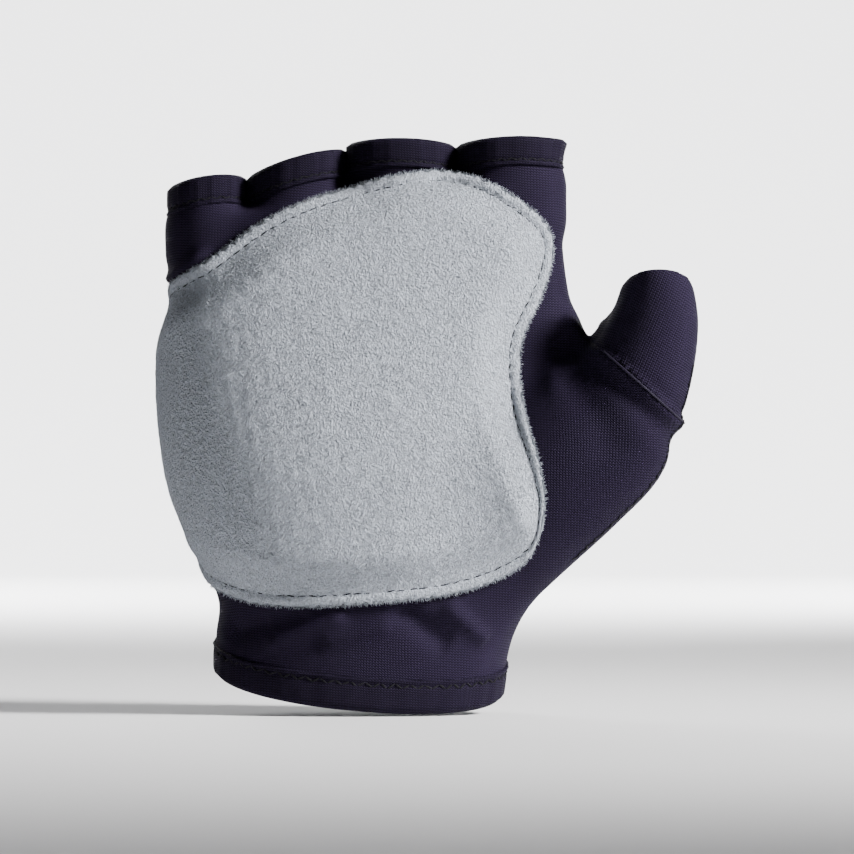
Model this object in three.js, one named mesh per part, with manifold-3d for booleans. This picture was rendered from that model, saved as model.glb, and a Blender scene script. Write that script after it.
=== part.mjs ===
import * as THREE from "three";
import { mergeVertices } from "three/addons/utils/BufferGeometryUtils.js";
import Module from "manifold-3d";

const wasm = await Module();
wasm.setup();

// Sizes in millimetres. Z runs from the wrist to the fingertips, the palm faces -Y, the thumb is at +X.
const HAND_LENGTH = 124;
const PALM_WIDTH = 89;
const PALM_DEPTH = 34;
const WRIST_WIDTH = 65;
const WRIST_DEPTH = 43;
const FINGER_DEPTH = 22;
const FINGER_SPACE = 1.1;
const FINGER_ROOT = 15;
const FINGER_DIP = 1.8;
const KNUCKLE_EDGE = 46;
const THUMB_REACH = 76.4;
const THUMB_TOP = 91;
const THUMB_DEPTH = 30;

// Cloth and leather walls, hem bands and the clearance between neighbouring pieces.
const CLOTH = 1.2;
const HEM_FOLD = 0.3;
const CUFF_HEM = 7;
const FINGER_HEM = 6.6;
const LEATHER = 1.4;
const PAD_THICKNESS = 3.4;
const PATCH_MARGIN = 4.5;
const PAD_RAMP = 9;
const GAP = 0.3;

// Fineness of the facets.
const BODY_SIDES = 44;
const BODY_STEP = 5.6;
const FINGER_SIDES = 20;
const THUMB_SIDES = 24;
const THUMB_STEP = 6;
const ROOT_STEPS = 24;
const OUTLINE_POINTS = 72;
const EDGE_STEPS = 16;

// How far a cutting shape runs past what it cuts, how much a finger's bore narrows inside the palm,
// the size of the rounded change from the palm to the thumb's root, and how far the thumb's bore runs
// sideways as it rises past the rim.
const BEYOND = 6;
const BORE_TAPER = 2.5;
const THENAR_BLEND = 5;
const THUMB_BORE_SLOPE = 0.25;

const WRIST = { width: WRIST_WIDTH, depth: WRIST_DEPTH };
const PALM = { width: PALM_WIDTH, depth: PALM_DEPTH };

// Rows of numbers as records with the named columns.
function table(columns, rows) {
  const names = columns.split(" ");
  return rows.map((row) => Object.fromEntries(names.map((name, i) => [name, row[i]])));
}

// Sections of the hand from the wrist rim to just past the finger roots. Up is a share of HAND_LENGTH;
// little, thumb, palm and back are shares of the width and depth of the size that the row follows.
// Square is the roundness of the corners; tilt and lean are the rise towards the thumb and the back.
const BODY = table("up of little thumb palm back square tilt lean", [
  [0.0, WRIST, 0.5, 0.5, 0.5, 0.5, 2.1, -0.085, 0.26],
  [0.07, WRIST, 0.497, 0.52, 0.5, 0.485, 2.15, -0.075, 0.22],
  [0.135, WRIST, 0.488, 0.555, 0.505, 0.468, 2.2, -0.05, 0.15],
  [0.21, PALM, 0.388, 0.438, 0.67, 0.575, 2.25, -0.01, 0.08],
  [0.31, PALM, 0.422, 0.472, 0.69, 0.56, 2.3, 0, 0.03],
  [0.4, PALM, 0.444, 0.5, 0.685, 0.545, 2.35, 0, 0],
  [0.5, PALM, 0.458, 0.522, 0.64, 0.515, 2.4, 0, 0],
  [0.6, PALM, 0.463, 0.552, 0.58, 0.485, 2.45, 0, 0],
  [0.65, PALM, 0.464, 0.56, 0.545, 0.47, 2.5, 0.01, 0],
  [0.7, PALM, 0.466, 0.536, 0.51, 0.452, 2.5, 0.03, 0],
  [0.77, PALM, 0.47, 0.52, 0.46, 0.425, 2.6, 0.07, 0],
  [0.84, PALM, 0.476, 0.515, 0.405, 0.39, 2.8, 0.1, 0],
  [0.88, PALM, 0.478, 0.516, 0.376, 0.364, 3, 0.11, 0],
  [0.97, PALM, 0.478, 0.516, 0.352, 0.34, 3.2, 0.11, 0],
]);
const KNUCKLE_SHARE = 0.88;
const CUFF_SHARE = CUFF_HEM / HAND_LENGTH;
const GAP_SHARE = GAP / HAND_LENGTH;

// Fingers from the thumb side to the little side: width as a share of PALM_WIDTH, depth of
// FINGER_DEPTH, rim height of HAND_LENGTH, slope of the rim across, and place towards the back.
const FINGERS = [
  { name: "index", width: 0.263, depth: 1.0, rim: 0.994, slope: 0.04, back: 0 },
  { name: "middle", width: 0.267, depth: 1.0, rim: 0.991, slope: -0.01, back: 0.02 },
  { name: "ring", width: 0.243, depth: 0.98, rim: 0.957, slope: 0.27, back: 0.02 },
  { name: "little", width: 0.189, depth: 0.9, rim: 0.92, slope: 0.09, back: -0.02 },
];

// Sections of the thumb from inside the palm to its rim. Outer and inner are the two sides of the
// section seen from the palm, x as a share of THUMB_REACH and z of THUMB_TOP; palm and depth are the
// middle's place towards the palm and the thickness, as shares of THUMB_DEPTH.
const THUMB = table("along outer_x outer_z inner_x inner_z palm depth lean", [
  [0.0, 0.38, 0.1, 0.03, 0.36, 0.16, 0.7, 0],
  [0.16, 0.6, 0.272, 0.21, 0.55, 0.25, 0.94, 0],
  [0.32, 0.765, 0.4, 0.39, 0.685, 0.34, 0.98, 0],
  [0.46, 0.89, 0.515, 0.565, 0.785, 0.4, 0.92, 0],
  [0.58, 0.948, 0.65, 0.69, 0.846, 0.45, 0.84, 0],
  [0.72, 0.986, 0.775, 0.728, 0.892, 0.48, 0.78, -0.06],
  [0.86, 1.0, 0.893, 0.756, 0.94, 0.5, 0.745, -0.18],
  [1.0, 0.985, 0.985, 0.775, 0.985, 0.51, 0.71, -0.33],
]);
const THUMB_SEAM_SHARE = 0.58;

// Outline of the patch seen from the palm: x as a share of PALM_WIDTH, z of HAND_LENGTH. The points
// past the little-finger edge let the patch run on round it.
const PATCH_OUTLINE = [
  { x: -0.64, z: 0.69 },
  { x: -0.472, z: 0.716 },
  { x: -0.4, z: 0.757 },
  { x: -0.257, z: 0.832 },
  { x: -0.134, z: 0.877 },
  { x: 0.0, z: 0.907 },
  { x: 0.11, z: 0.926 },
  { x: 0.212, z: 0.933 },
  { x: 0.31, z: 0.918 },
  { x: 0.4, z: 0.882 },
  { x: 0.478, z: 0.832 },
  { x: 0.492, z: 0.785 },
  { x: 0.468, z: 0.715 },
  { x: 0.414, z: 0.629 },
  { x: 0.408, z: 0.547 },
  { x: 0.424, z: 0.475 },
  { x: 0.458, z: 0.388 },
  { x: 0.466, z: 0.33 },
  { x: 0.45, z: 0.262 },
  { x: 0.4, z: 0.212 },
  { x: 0.242, z: 0.168 },
  { x: 0.017, z: 0.15 },
  { x: -0.185, z: 0.145 },
  { x: -0.34, z: 0.163 },
  { x: -0.43, z: 0.234 },
  { x: -0.64, z: 0.3 },
];

// How far the patch runs on to the back: y as a share of PALM_DEPTH at heights of HAND_LENGTH.
const PATCH_BACK_EDGE = [
  { z: -0.1, y: -0.12 },
  { z: 0.16, y: -0.12 },
  { z: 0.25, y: 0.06 },
  { z: 0.36, y: 0.22 },
  { z: 0.5, y: 0.27 },
  { z: 0.62, y: 0.22 },
  { z: 0.71, y: 0.02 },
  { z: 0.76, y: -0.12 },
  { z: 1.2, y: -0.12 },
];

// Where the palm turns over to the little-finger side, and how deep the patch may reach elsewhere,
// as shares of PALM_WIDTH and PALM_DEPTH. The patch's middle and the stretch of the hand that it can
// cover are shares too, and so is the part of the ramp that the pad's thin edge stays back from.
const LITTLE_SIDE_SHARE = 0.36;
const PALM_ONLY_SHARE = -0.12;
const PATCH_MIDDLE = { x: -0.02, z: 0.53 };
const PATCH_FROM_SHARE = 0.09;
const PATCH_TO_SHARE = 0.97;
const PAD_EDGE_SHARE = 0.42;

// Folds of the cloth as ridges (height above 0) and dents (below 0) along a line from one point to
// another: side is -1 on the palm and 1 on the back, x shares of PALM_WIDTH, z and wide of
// HAND_LENGTH, height in walls of cloth.
const FOLDS = [
  { side: -1, x0: -0.25, z0: 0.075, x1: -0.02, z1: 0.125, wide: 0.03, height: 0.9 },
  { side: -1, x0: 0.16, z0: 0.125, x1: 0.27, z1: 0.07, wide: 0.035, height: -1.0 },
  { side: -1, x0: 0.5, z0: 0.66, x1: 0.56, z1: 0.48, wide: 0.04, height: -1.2 },
  { side: 1, x0: 0.36, z0: 0.17, x1: -0.1, z1: 0.33, wide: 0.03, height: 0.9 },
  { side: 1, x0: 0.34, z0: 0.12, x1: -0.22, z1: 0.2, wide: 0.03, height: 0.8 },
  { side: 1, x0: 0.45, z0: 0.8, x1: 0.16, z1: 0.87, wide: 0.03, height: 0.8 },
  { side: 1, x0: 0.1, z0: 0.83, x1: -0.4, z1: 0.77, wide: 0.028, height: 0.7 },
];
const FOLD_FADE_SHARE = 0.25;

// Finger sections: the power that squares the oval a little, and the share of the dip above the rim.
const FINGER_POWER = 0.92;
const DIP_ABOVE_SHARE = 0.3;

// Value of one column at a place between the rows, on a smooth curve through them.
function blend(rows, key, column, place, value = (row) => row[column]) {
  let i = 0;
  while (i < rows.length - 2 && place > rows[i + 1][key]) {
    i += 1;
  }
  const at = (n) => rows[Math.min(Math.max(n, 0), rows.length - 1)];
  const rise = (n, m) => (value(at(m)) - value(at(n))) / Math.max(at(m)[key] - at(n)[key], 1e-9);
  const span = at(i + 1)[key] - at(i)[key];
  const t = (place - at(i)[key]) / span;
  const start = rise(i - 1, i + 1) * span;
  const end = rise(i, i + 2) * span;
  const a = value(at(i));
  const b = value(at(i + 1));
  if (t < 0) {
    return a + start * t;
  }
  const t2 = t * t;
  const t3 = t2 * t;
  return (2 * t3 - 3 * t2 + 1) * a + (t3 - 2 * t2 + t) * start + (3 * t2 - 2 * t3) * b + (t3 - t2) * end;
}

function power(value, exponent) {
  return Math.sign(value) * Math.abs(value) ** exponent;
}

function smooth(value) {
  const t = Math.min(Math.max(value, 0), 1);
  return t * t * (3 - 2 * t);
}

// A closed solid through rings of points, with its two ends capped.
function loft(rings) {
  const sides = rings[0].length;
  const points = rings.flat();
  const faces = [];
  for (let r = 0; r < rings.length - 1; r += 1) {
    for (let s = 0; s < sides; s += 1) {
      const a = r * sides + s;
      const b = r * sides + ((s + 1) % sides);
      faces.push(a, b, b + sides, a, b + sides, a + sides);
    }
  }
  for (const [start, ring] of [[0, rings[0]], [points.length - sides, rings.at(-1)]]) {
    const middle = ring.reduce((sum, p) => sum.add(p), new THREE.Vector3()).divideScalar(sides);
    const centre = points.push(middle) - 1;
    for (let s = 0; s < sides; s += 1) {
      const pair = [start + s, start + ((s + 1) % sides)];
      faces.push(centre, ...(start === 0 ? pair.reverse() : pair));
    }
  }
  const geometry = new THREE.BufferGeometry().setFromPoints(points);
  geometry.setIndex(faces);
  return solid(geometry);
}

function solid(geometry) {
  const bare = geometry.clone();
  bare.deleteAttribute("normal");
  bare.deleteAttribute("uv");
  const merged = mergeVertices(bare, 1e-4);
  const body = new wasm.Manifold(new wasm.Mesh({
    numProp: 3,
    vertProperties: new Float32Array(merged.attributes.position.array),
    triVerts: new Uint32Array(merged.index.array),
  }));
  return body;
}

// Height of the folds at a point of the hand's surface.
function foldHeight(x, y, z) {
  let height = 0;
  for (const fold of FOLDS) {
    const start = new THREE.Vector2(fold.x0 * PALM_WIDTH, fold.z0 * HAND_LENGTH);
    const along = new THREE.Vector2(fold.x1 * PALM_WIDTH, fold.z1 * HAND_LENGTH).sub(start);
    const from = new THREE.Vector2(x, z).sub(start);
    const t = Math.min(Math.max(from.dot(along) / along.lengthSq(), 0), 1);
    const away = from.sub(along.multiplyScalar(t)).length() / (fold.wide * HAND_LENGTH);
    const facing = smooth((fold.side * y) / (FOLD_FADE_SHARE * PALM_DEPTH));
    height += fold.height * CLOTH * facing * Math.exp(-away * away);
  }
  return height;
}

// The thumb's sections from the palm to its seam, each by its middle, direction and half sizes.
function thumbSection(along) {
  const column = (name) => blend(THUMB, "along", name, along);
  const outer = new THREE.Vector3(column("outer_x") * THUMB_REACH, 0, column("outer_z") * THUMB_TOP);
  const inner = new THREE.Vector3(column("inner_x") * THUMB_REACH, 0, column("inner_z") * THUMB_TOP);
  const middle = outer.clone().add(inner).multiplyScalar(0.5);
  const side = outer.sub(inner).multiplyScalar(0.5);
  const half = side.length();
  middle.y = -column("palm") * THUMB_DEPTH;
  side.normalize();
  return { middle, half, side, deep: (column("depth") * THUMB_DEPTH) / 2, lean: column("lean") };
}

const ROOT_SECTIONS = [];
for (let i = 0; i <= ROOT_STEPS; i += 1) {
  ROOT_SECTIONS.push(thumbSection((i / ROOT_STEPS) * THUMB_SEAM_SHARE));
}

// Where the palm side of the thumb's root lies over a point of the palm, or nothing beside it.
function thenarFront(x, z) {
  const from = ({ middle, side }) => {
    const dx = x - middle.x;
    const dz = z - middle.z;
    return { across: dx * side.x + dz * side.z, past: dx * side.z - dz * side.x };
  };
  for (let i = 1; i < ROOT_SECTIONS.length; i += 1) {
    const a = from(ROOT_SECTIONS[i - 1]);
    const b = from(ROOT_SECTIONS[i]);
    if (a.past > 0 !== b.past > 0) {
      const t = a.past / (a.past - b.past);
      const mix = (p, q) => p + (q - p) * t;
      const half = mix(ROOT_SECTIONS[i - 1].half, ROOT_SECTIONS[i].half);
      const share = mix(a.across, b.across) / half;
      if (Math.abs(share) < 1) {
        const middle = mix(ROOT_SECTIONS[i - 1].middle.y, ROOT_SECTIONS[i].middle.y);
        const deep = mix(ROOT_SECTIONS[i - 1].deep, ROOT_SECTIONS[i].deep);
        return middle - deep * Math.sqrt(1 - share * share);
      }
    }
  }
  return Infinity;
}

// The lower of two depths with a rounded change from one to the other.
function softLower(a, b) {
  if (b === Infinity) {
    return a;
  }
  const t = Math.min(Math.max(0.5 + (b - a) / (2 * THENAR_BLEND), 0), 1);
  return b + (a - b) * t - THENAR_BLEND * t * (1 - t);
}

// One section of the hand at a share of its height, grown outwards by a length or by a rule.
function bodyRing(up, grow) {
  const column = (name) => blend(BODY, "up", name, up);
  const length = (name, size) => blend(BODY, "up", name, up, (row) => row[name] * row.of[size]);
  const little = length("little", "width");
  const thumb = length("thumb", "width");
  const palm = length("palm", "depth");
  const back = length("back", "depth");
  const round = 2 / column("square");
  const ring = [];
  for (let s = 0; s < BODY_SIDES; s += 1) {
    const angle = (2 * Math.PI * s) / BODY_SIDES;
    const across = power(Math.cos(angle), round);
    const deep = power(Math.sin(angle), round);
    const half = (little + thumb) / 2;
    const x = (thumb - little) / 2 + half * across;
    const depth = deep > 0 ? back : palm;
    const flat = depth * deep;
    const over = softLower(flat, thenarFront(x, up * HAND_LENGTH)) - flat;
    const y = flat + over * smooth(-2 * Math.sin(angle));
    const z = up * HAND_LENGTH + column("tilt") * x + column("lean") * y;
    const way = new THREE.Vector2(Math.cos(angle) / half, Math.sin(angle) / depth).normalize();
    const more = (typeof grow === "function" ? grow(x, y, z) : grow) + foldHeight(x, y, z);
    ring.push(new THREE.Vector3(x + way.x * more, y + way.y * more, z));
  }
  return ring;
}

// Every layer of the hand has its sections at the same heights, so that their facets lie parallel.
function stations(from, to) {
  const steps = Math.round(((KNUCKLE_SHARE - CUFF_SHARE) * HAND_LENGTH) / BODY_STEP);
  const step = (KNUCKLE_SHARE - CUFF_SHARE) / steps;
  const heights = [from];
  for (let up = CUFF_SHARE; up < to - step / 4; up += step) {
    if (up > from + step / 4) {
      heights.push(up);
    }
  }
  return [...heights, to];
}

function body(from, to, grow) {
  return stations(from, to).map((up) => bodyRing(up, grow));
}

// The fingers stand side by side from the knuckle edge towards the little finger.
function placedFingers() {
  let edge = KNUCKLE_EDGE;
  return FINGERS.map((finger) => {
    const half = (finger.width * PALM_WIDTH) / 2;
    const x = edge - half;
    edge -= 2 * half + FINGER_SPACE;
    const deep = (finger.depth * FINGER_DEPTH) / 2;
    return { ...finger, x, half, deep, y: finger.back * PALM_DEPTH };
  });
}

// One section of a finger, at a depth below its rim. Its sides dip lower than its palm and back.
function fingerRing(finger, below, grow) {
  const ring = [];
  for (let s = 0; s < FINGER_SIDES; s += 1) {
    const angle = (2 * Math.PI * s) / FINGER_SIDES;
    const x = (finger.half + grow) * power(Math.cos(angle), FINGER_POWER);
    const y = (finger.deep + grow) * power(Math.sin(angle), FINGER_POWER);
    const dip = FINGER_DIP * (Math.cos(angle) ** 2 - DIP_ABOVE_SHARE);
    const z = finger.rim * HAND_LENGTH - below + finger.slope * x - dip;
    ring.push(new THREE.Vector3(finger.x + x, finger.y + y, z));
  }
  return ring;
}

// One section of the thumb at a share of its length.
function thumbRing(along, grow) {
  const { middle, side, half, deep, lean } = thumbSection(along);
  const ring = [];
  for (let s = 0; s < THUMB_SIDES; s += 1) {
    const angle = (2 * Math.PI * s) / THUMB_SIDES;
    const y = (deep + grow) * Math.sin(angle);
    const point = side.clone().multiplyScalar((half + grow) * Math.cos(angle)).add(middle);
    ring.push(new THREE.Vector3(point.x, point.y + y, point.z + lean * y));
  }
  return ring;
}

function thumb(from, to, grow) {
  const steps = Math.max(1, Math.round(((to - from) * THUMB_TOP) / THUMB_STEP));
  const rings = [];
  for (let i = 0; i <= steps; i += 1) {
    rings.push(thumbRing(from + ((to - from) * i) / steps, grow));
  }
  return rings;
}

// The last ring again, moved on by a length, so that a bore runs clear of its wall.
function moved(ring, x, z) {
  return ring.map((p) => new THREE.Vector3(p.x + x, p.y, p.z + z));
}

function joined(solids) {
  return solids.reduce((whole, next) => whole.add(next));
}

const fingers = placedFingers();

function bodyBore(from, to, grow) {
  const rings = body(from, to, grow);
  return loft([moved(rings[0], 0, -BEYOND), ...rings]);
}

function fingerBore(finger, grow) {
  const rings = [fingerRing(finger, FINGER_ROOT, grow), fingerRing(finger, -BEYOND, grow)];
  return loft([fingerRing(finger, FINGER_ROOT + BEYOND, grow - BORE_TAPER), ...rings]);
}

function fingerTube(finger, grow) {
  return loft([fingerRing(finger, FINGER_ROOT, grow), fingerRing(finger, FINGER_HEM + GAP, grow)]);
}

// The thumb's length from its first section to its last, by which lengths become shares of it.
function thumbLength() {
  const middles = THUMB.map((row) => thumbSection(row.along).middle);
  return middles.slice(1).reduce((sum, p, i) => sum + p.distanceTo(middles[i]), 0);
}

// A bore through the thumb, run on past both ends, so that it opens them.
function thumbBore(from, to, past) {
  const bore = thumb(from, to, -CLOTH);
  const end = moved(bore.at(-1), past.to * THUMB_BORE_SLOPE, past.to);
  return loft([moved(bore[0], -past.from, -past.from), ...bore, end]);
}

function handShell() {
  const outer = joined([
    loft(body(CUFF_SHARE + GAP_SHARE, KNUCKLE_SHARE, 0)),
    ...fingers.map((finger) => fingerTube(finger, 0)),
    loft(thumb(0, THUMB_SEAM_SHARE, 0)),
  ]);
  const bore = joined([
    bodyBore(CUFF_SHARE + GAP_SHARE, KNUCKLE_SHARE - CLOTH / HAND_LENGTH, -CLOTH),
    ...fingers.map((finger) => fingerBore(finger, -CLOTH)),
    thumbBore(0, THUMB_SEAM_SHARE, { from: CLOTH / 100, to: CLOTH }),
  ]);
  return outer.subtract(bore);
}

function thumbStall() {
  const start = THUMB_SEAM_SHARE + GAP / thumbLength();
  return loft(thumb(start, 1, 0)).subtract(thumbBore(start, 1, { from: CLOTH, to: BEYOND }));
}

function cuffHem() {
  const outer = loft(body(0, CUFF_SHARE, HEM_FOLD));
  const rings = body(0, CUFF_SHARE, HEM_FOLD - 2 * CLOTH + HEM_FOLD);
  const bore = loft([moved(rings[0], 0, -BEYOND), ...rings, moved(rings.at(-1), 0, BEYOND)]);
  return outer.subtract(bore);
}

function fingerHem(finger) {
  const outer = loft([fingerRing(finger, FINGER_HEM, HEM_FOLD), fingerRing(finger, 0, HEM_FOLD)]);
  const inside = 2 * HEM_FOLD - 2 * CLOTH;
  const bore = loft([fingerRing(finger, FINGER_HEM + BEYOND, inside), fingerRing(finger, -BEYOND, inside)]);
  return outer.subtract(bore);
}

// The patch outline as a smooth closed line.
function patchOutline() {
  const points = PATCH_OUTLINE.map((p) => new THREE.Vector3(p.x * PALM_WIDTH, p.z * HAND_LENGTH, 0));
  return new THREE.CatmullRomCurve3(points, true, "centripetal").getPoints(OUTLINE_POINTS).slice(1);
}

const outline = patchOutline();

function backEdge(z) {
  return blend(PATCH_BACK_EDGE, "z", "y", z / HAND_LENGTH) * PALM_DEPTH;
}

// How far a point of the hand's surface lies inside the patch's edge.
function inset(x, y, z) {
  let nearest = Infinity;
  let inside = false;
  outline.forEach((a, i) => {
    const b = outline[(i + 1) % outline.length];
    const dx = b.x - a.x;
    const dz = b.y - a.y;
    const t = Math.min(Math.max(((x - a.x) * dx + (z - a.y) * dz) / a.distanceToSquared(b), 0), 1);
    nearest = Math.min(nearest, Math.hypot(x - a.x - t * dx, z - a.y - t * dz));
    if (a.y > z !== b.y > z && x < a.x + ((z - a.y) / dz) * dx) {
      inside = !inside;
    }
  });
  const round = backEdge(z) - y + Math.max(0, x + LITTLE_SIDE_SHARE * PALM_WIDTH);
  return Math.min(inside ? nearest : -nearest, round);
}

// Height of the leather's underside above the cloth: flat at the sewn margin, then up over the pad.
function underPatch(x, y, z) {
  return GAP + (PAD_THICKNESS + GAP) * smooth((inset(x, y, z) - PATCH_MARGIN) / PAD_RAMP);
}

// What lies inside the patch's edge, less an inset, and on the palm's side of its back edge.
function patchSpace(less) {
  const middle = new THREE.Vector2(PATCH_MIDDLE.x * PALM_WIDTH, PATCH_MIDDLE.z * HAND_LENGTH);
  const shape = new THREE.Shape(outline.map((p) => {
    const from = new THREE.Vector2(p.x, p.y).sub(middle);
    return from.setLength(from.length() - less).add(middle);
  }));
  const deep = 2 * PALM_DEPTH;
  const front = new THREE.ExtrudeGeometry(shape, { depth: 2 * deep, bevelEnabled: false });
  front.rotateX(Math.PI / 2);
  front.translate(0, deep, 0);
  const profile = [];
  const lowest = PATCH_BACK_EDGE[0].z * HAND_LENGTH;
  const highest = PATCH_BACK_EDGE.at(-1).z * HAND_LENGTH;
  for (let i = 0; i <= EDGE_STEPS; i += 1) {
    const z = lowest + ((highest - lowest) * i) / EDGE_STEPS;
    profile.push(new THREE.Vector2(backEdge(z) - less, z));
  }
  profile.push(new THREE.Vector2(-deep, highest), new THREE.Vector2(-deep, lowest));
  const across = { depth: PALM_WIDTH, bevelEnabled: false };
  const side = new THREE.ExtrudeGeometry(new THREE.Shape(profile), across);
  side.applyMatrix4(new THREE.Matrix4().set(0, 0, 1, -PALM_WIDTH, 1, 0, 0, 0, 0, 1, 0, 0, 0, 0, 0, 1));
  const palmSide = new THREE.BoxGeometry(4 * PALM_WIDTH, deep, 3 * HAND_LENGTH);
  palmSide.translate(0, PALM_ONLY_SHARE * PALM_DEPTH - deep / 2, 0);
  return solid(front).intersect(solid(side).add(solid(palmSide)));
}

function layer(under, over, less) {
  const top = loft(body(PATCH_FROM_SHARE, PATCH_TO_SHARE, over));
  const bottom = body(PATCH_FROM_SHARE, PATCH_TO_SHARE, under);
  const cut = loft([moved(bottom[0], 0, -BEYOND), ...bottom, moved(bottom.at(-1), 0, BEYOND)]);
  const tubes = fingers.map((finger) => fingerTube(finger, GAP));
  const clear = joined([loft(thumb(0, THUMB_SEAM_SHARE, GAP)), ...tubes]);
  return top.subtract(cut).intersect(patchSpace(less)).subtract(clear);
}

function suedePatch() {
  return layer(underPatch, (x, y, z) => underPatch(x, y, z) + LEATHER, 0);
}

function impactPad() {
  const over = (x, y, z) => Math.max(underPatch(x, y, z) - GAP, GAP / 2);
  return layer(GAP, over, PATCH_MARGIN + PAD_EDGE_SHARE * PAD_RAMP);
}

const KNIT = { color: "#2c2540", roughness: 0.62, metalness: 0 };
const HEM = { color: "#2a2340", roughness: 0.58, metalness: 0 };
const SUEDE = { color: "#a9adb6", roughness: 0.95, metalness: 0 };
const FOAM = { color: "#3a3a40", roughness: 0.8, metalness: 0 };

const group = new THREE.Group();
group.name = "impact_glove";

function addPiece(name, shape, look) {
  const made = shape.getMesh();
  const geometry = new THREE.BufferGeometry();
  geometry.setAttribute("position", new THREE.BufferAttribute(new Float32Array(made.vertProperties), 3));
  geometry.setIndex(new THREE.BufferAttribute(new Uint32Array(made.triVerts), 1));
  geometry.computeVertexNormals();
  const mesh = new THREE.Mesh(geometry, new THREE.MeshStandardMaterial(look));
  mesh.name = name;
  group.add(mesh);
}

addPiece("hand_shell", handShell(), KNIT);
addPiece("thumb_stall", thumbStall(), KNIT);
addPiece("cuff_hem", cuffHem(), HEM);
for (const finger of fingers) {
  addPiece(`hem_${finger.name}`, fingerHem(finger), HEM);
}
addPiece("suede_patch", suedePatch(), SUEDE);
addPiece("impact_pad", impactPad(), FOAM);

export default group;
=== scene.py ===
"""Looks of a fingerless impact glove: knit cloth, turned hems, a sewn suede patch and its threads."""

import math

import bpy
import numpy as np
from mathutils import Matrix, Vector


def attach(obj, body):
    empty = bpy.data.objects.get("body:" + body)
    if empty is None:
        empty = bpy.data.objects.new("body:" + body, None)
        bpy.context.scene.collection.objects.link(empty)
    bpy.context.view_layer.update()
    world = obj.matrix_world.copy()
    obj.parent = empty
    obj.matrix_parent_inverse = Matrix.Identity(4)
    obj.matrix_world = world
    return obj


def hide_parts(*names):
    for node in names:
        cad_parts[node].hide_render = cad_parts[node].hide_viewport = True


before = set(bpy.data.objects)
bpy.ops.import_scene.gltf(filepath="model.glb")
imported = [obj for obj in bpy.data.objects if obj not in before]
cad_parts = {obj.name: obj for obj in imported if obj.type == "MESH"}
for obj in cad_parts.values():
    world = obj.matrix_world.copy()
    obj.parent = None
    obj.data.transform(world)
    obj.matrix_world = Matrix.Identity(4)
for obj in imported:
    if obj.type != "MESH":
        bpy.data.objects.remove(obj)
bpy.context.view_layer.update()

bl_info = {
    "name": "Impact glove",
    "version": (1, 0, 0),
    "blender": (4, 5, 0),
    "location": "3D View > Sidebar > Glove",
    "description": "Dresses the packed glove in knit, suede and thread",
    "category": "Object",
}

# Lengths below are in millimetres, in the frame of the solids: fingers up, palm to -Y, thumb at +X.
MM = 0.001
BODY = "root"
HAND_LENGTH = 124.0
PALM_WIDTH = 89.0
PALM_DEPTH = 34.0
WRIST_WIDTH = 65.0
WRIST_DEPTH = 43.0
FINGER_DEPTH = 22.0
FINGER_SPACE = 1.1
FINGER_DIP = 1.0
KNUCKLE_EDGE = 46.0
THUMB_REACH = 76.4
THUMB_TOP = 91.0
THUMB_DEPTH = 30.0
CLOTH = 1.2
CUFF_HEM = 7.0
FINGER_HEM = 6.6
LEATHER = 1.4
PAD_THICKNESS = 3.4

# The floor in metres: its height, just under the cuff's lowest point, its reach to the sides, where
# it bends up behind and how far, in how many steps, and the top of its wall.
FLOOR = -0.0068
FLOOR_REACH = 3.0
FLOOR_BACK = 1.3
FLOOR_BEND = 0.5
FLOOR_STEPS = 24
WALL_TOP = 2.6

# The camera's place in metres and its lens in millimetres.
CAMERA = (0.0155, -1.4, 0.058)
LENS = 260.0

# Lights: name, place and size in metres, power, spread in degrees, colour and the point they face.
GLOVE, WHITE = (0.015, 0.0, 0.06), (1.0, 1.0, 1.0)
LIGHTS = [
    ("key", (0.94, -0.38, 0.60), 0.32, 4.2, 50.0, (1.0, 0.99, 0.98), GLOVE),
    ("fill", (-0.2, -1.3, 0.5), 0.9, 0.25, 180.0, (0.92, 0.95, 1.0), GLOVE),
    ("back", (-0.45, 1.1, 0.75), 0.6, 9.0, 180.0, WHITE, GLOVE),
    ("wall_left", (-0.5, 0.85, 0.35), 0.4, 26.0, 180.0, WHITE, (-0.05, 1.5, 0.05)),
    ("wall_right", (0.5, 0.85, 0.35), 0.4, 26.0, 180.0, WHITE, (0.05, 1.5, 0.05)),
]

# The cloth's mesh: its box, its fineness, how softly its parts run into each other, the value of a
# field far from its form, and how far fingers reach down into the hand and past their neighbours.
NET_LOW, NET_HIGH = (-50.0, -34.0, -12.0), (82.0, 28.0, 131.0)
NET_STEP = 1.05
KNUCKLE_SOFT = 5.0
FINGER_SOFT = 4.0
THUMB_SOFT = 5.0
LEATHER_SOFT = 7.0
CAP_SOFT = 4.0
FAR = 60.0
FINGER_ROOT = 20.0
BEYOND = 8.0

# The web in the thumb's crotch: its corner, the level ways out past the index finger and the thumb,
# then its half thickness, reach, rounding, the sharpness of its corner and how softly it joins.
WEB = (52.2, -8.0, 77.8)
PAST_INDEX = (0.837, 0.547)
PAST_THUMB = (-0.772, 0.635)
WEB_THICK = 5.0
WEB_REACH = 7.0
WEB_ROUND = 3.0
WEB_SHARP = 0.8
WEB_SOFT = 3.5

# Hems: how far the cloth tucks under their lip and how round it is, their inside, outside and edge,
# the level of a side that presses on a neighbour, the index hem's flare, the cosines where both start
# and their ramps, the rows and steps of their mesh, and their stitches' place from the edge.
LIP = 0.7
LIP_ROUND = 0.5
HEM_INSIDE = -1.6
HEM_OUTSIDE = 0.48
HEM_EDGE = 0.35
BESIDE = 0.64
BESIDE_FROM = (0.86, 0.1)
INDEX_FLARE = 1.0
FLARE_FROM = (0.6, 0.4)
FLARE_LENGTH = 2.2
HEM_ROWS = 15
CUFF_STEPS = 260
FINGER_STEPS = 120
STITCH_FROM_EDGE = 1.35

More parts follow.
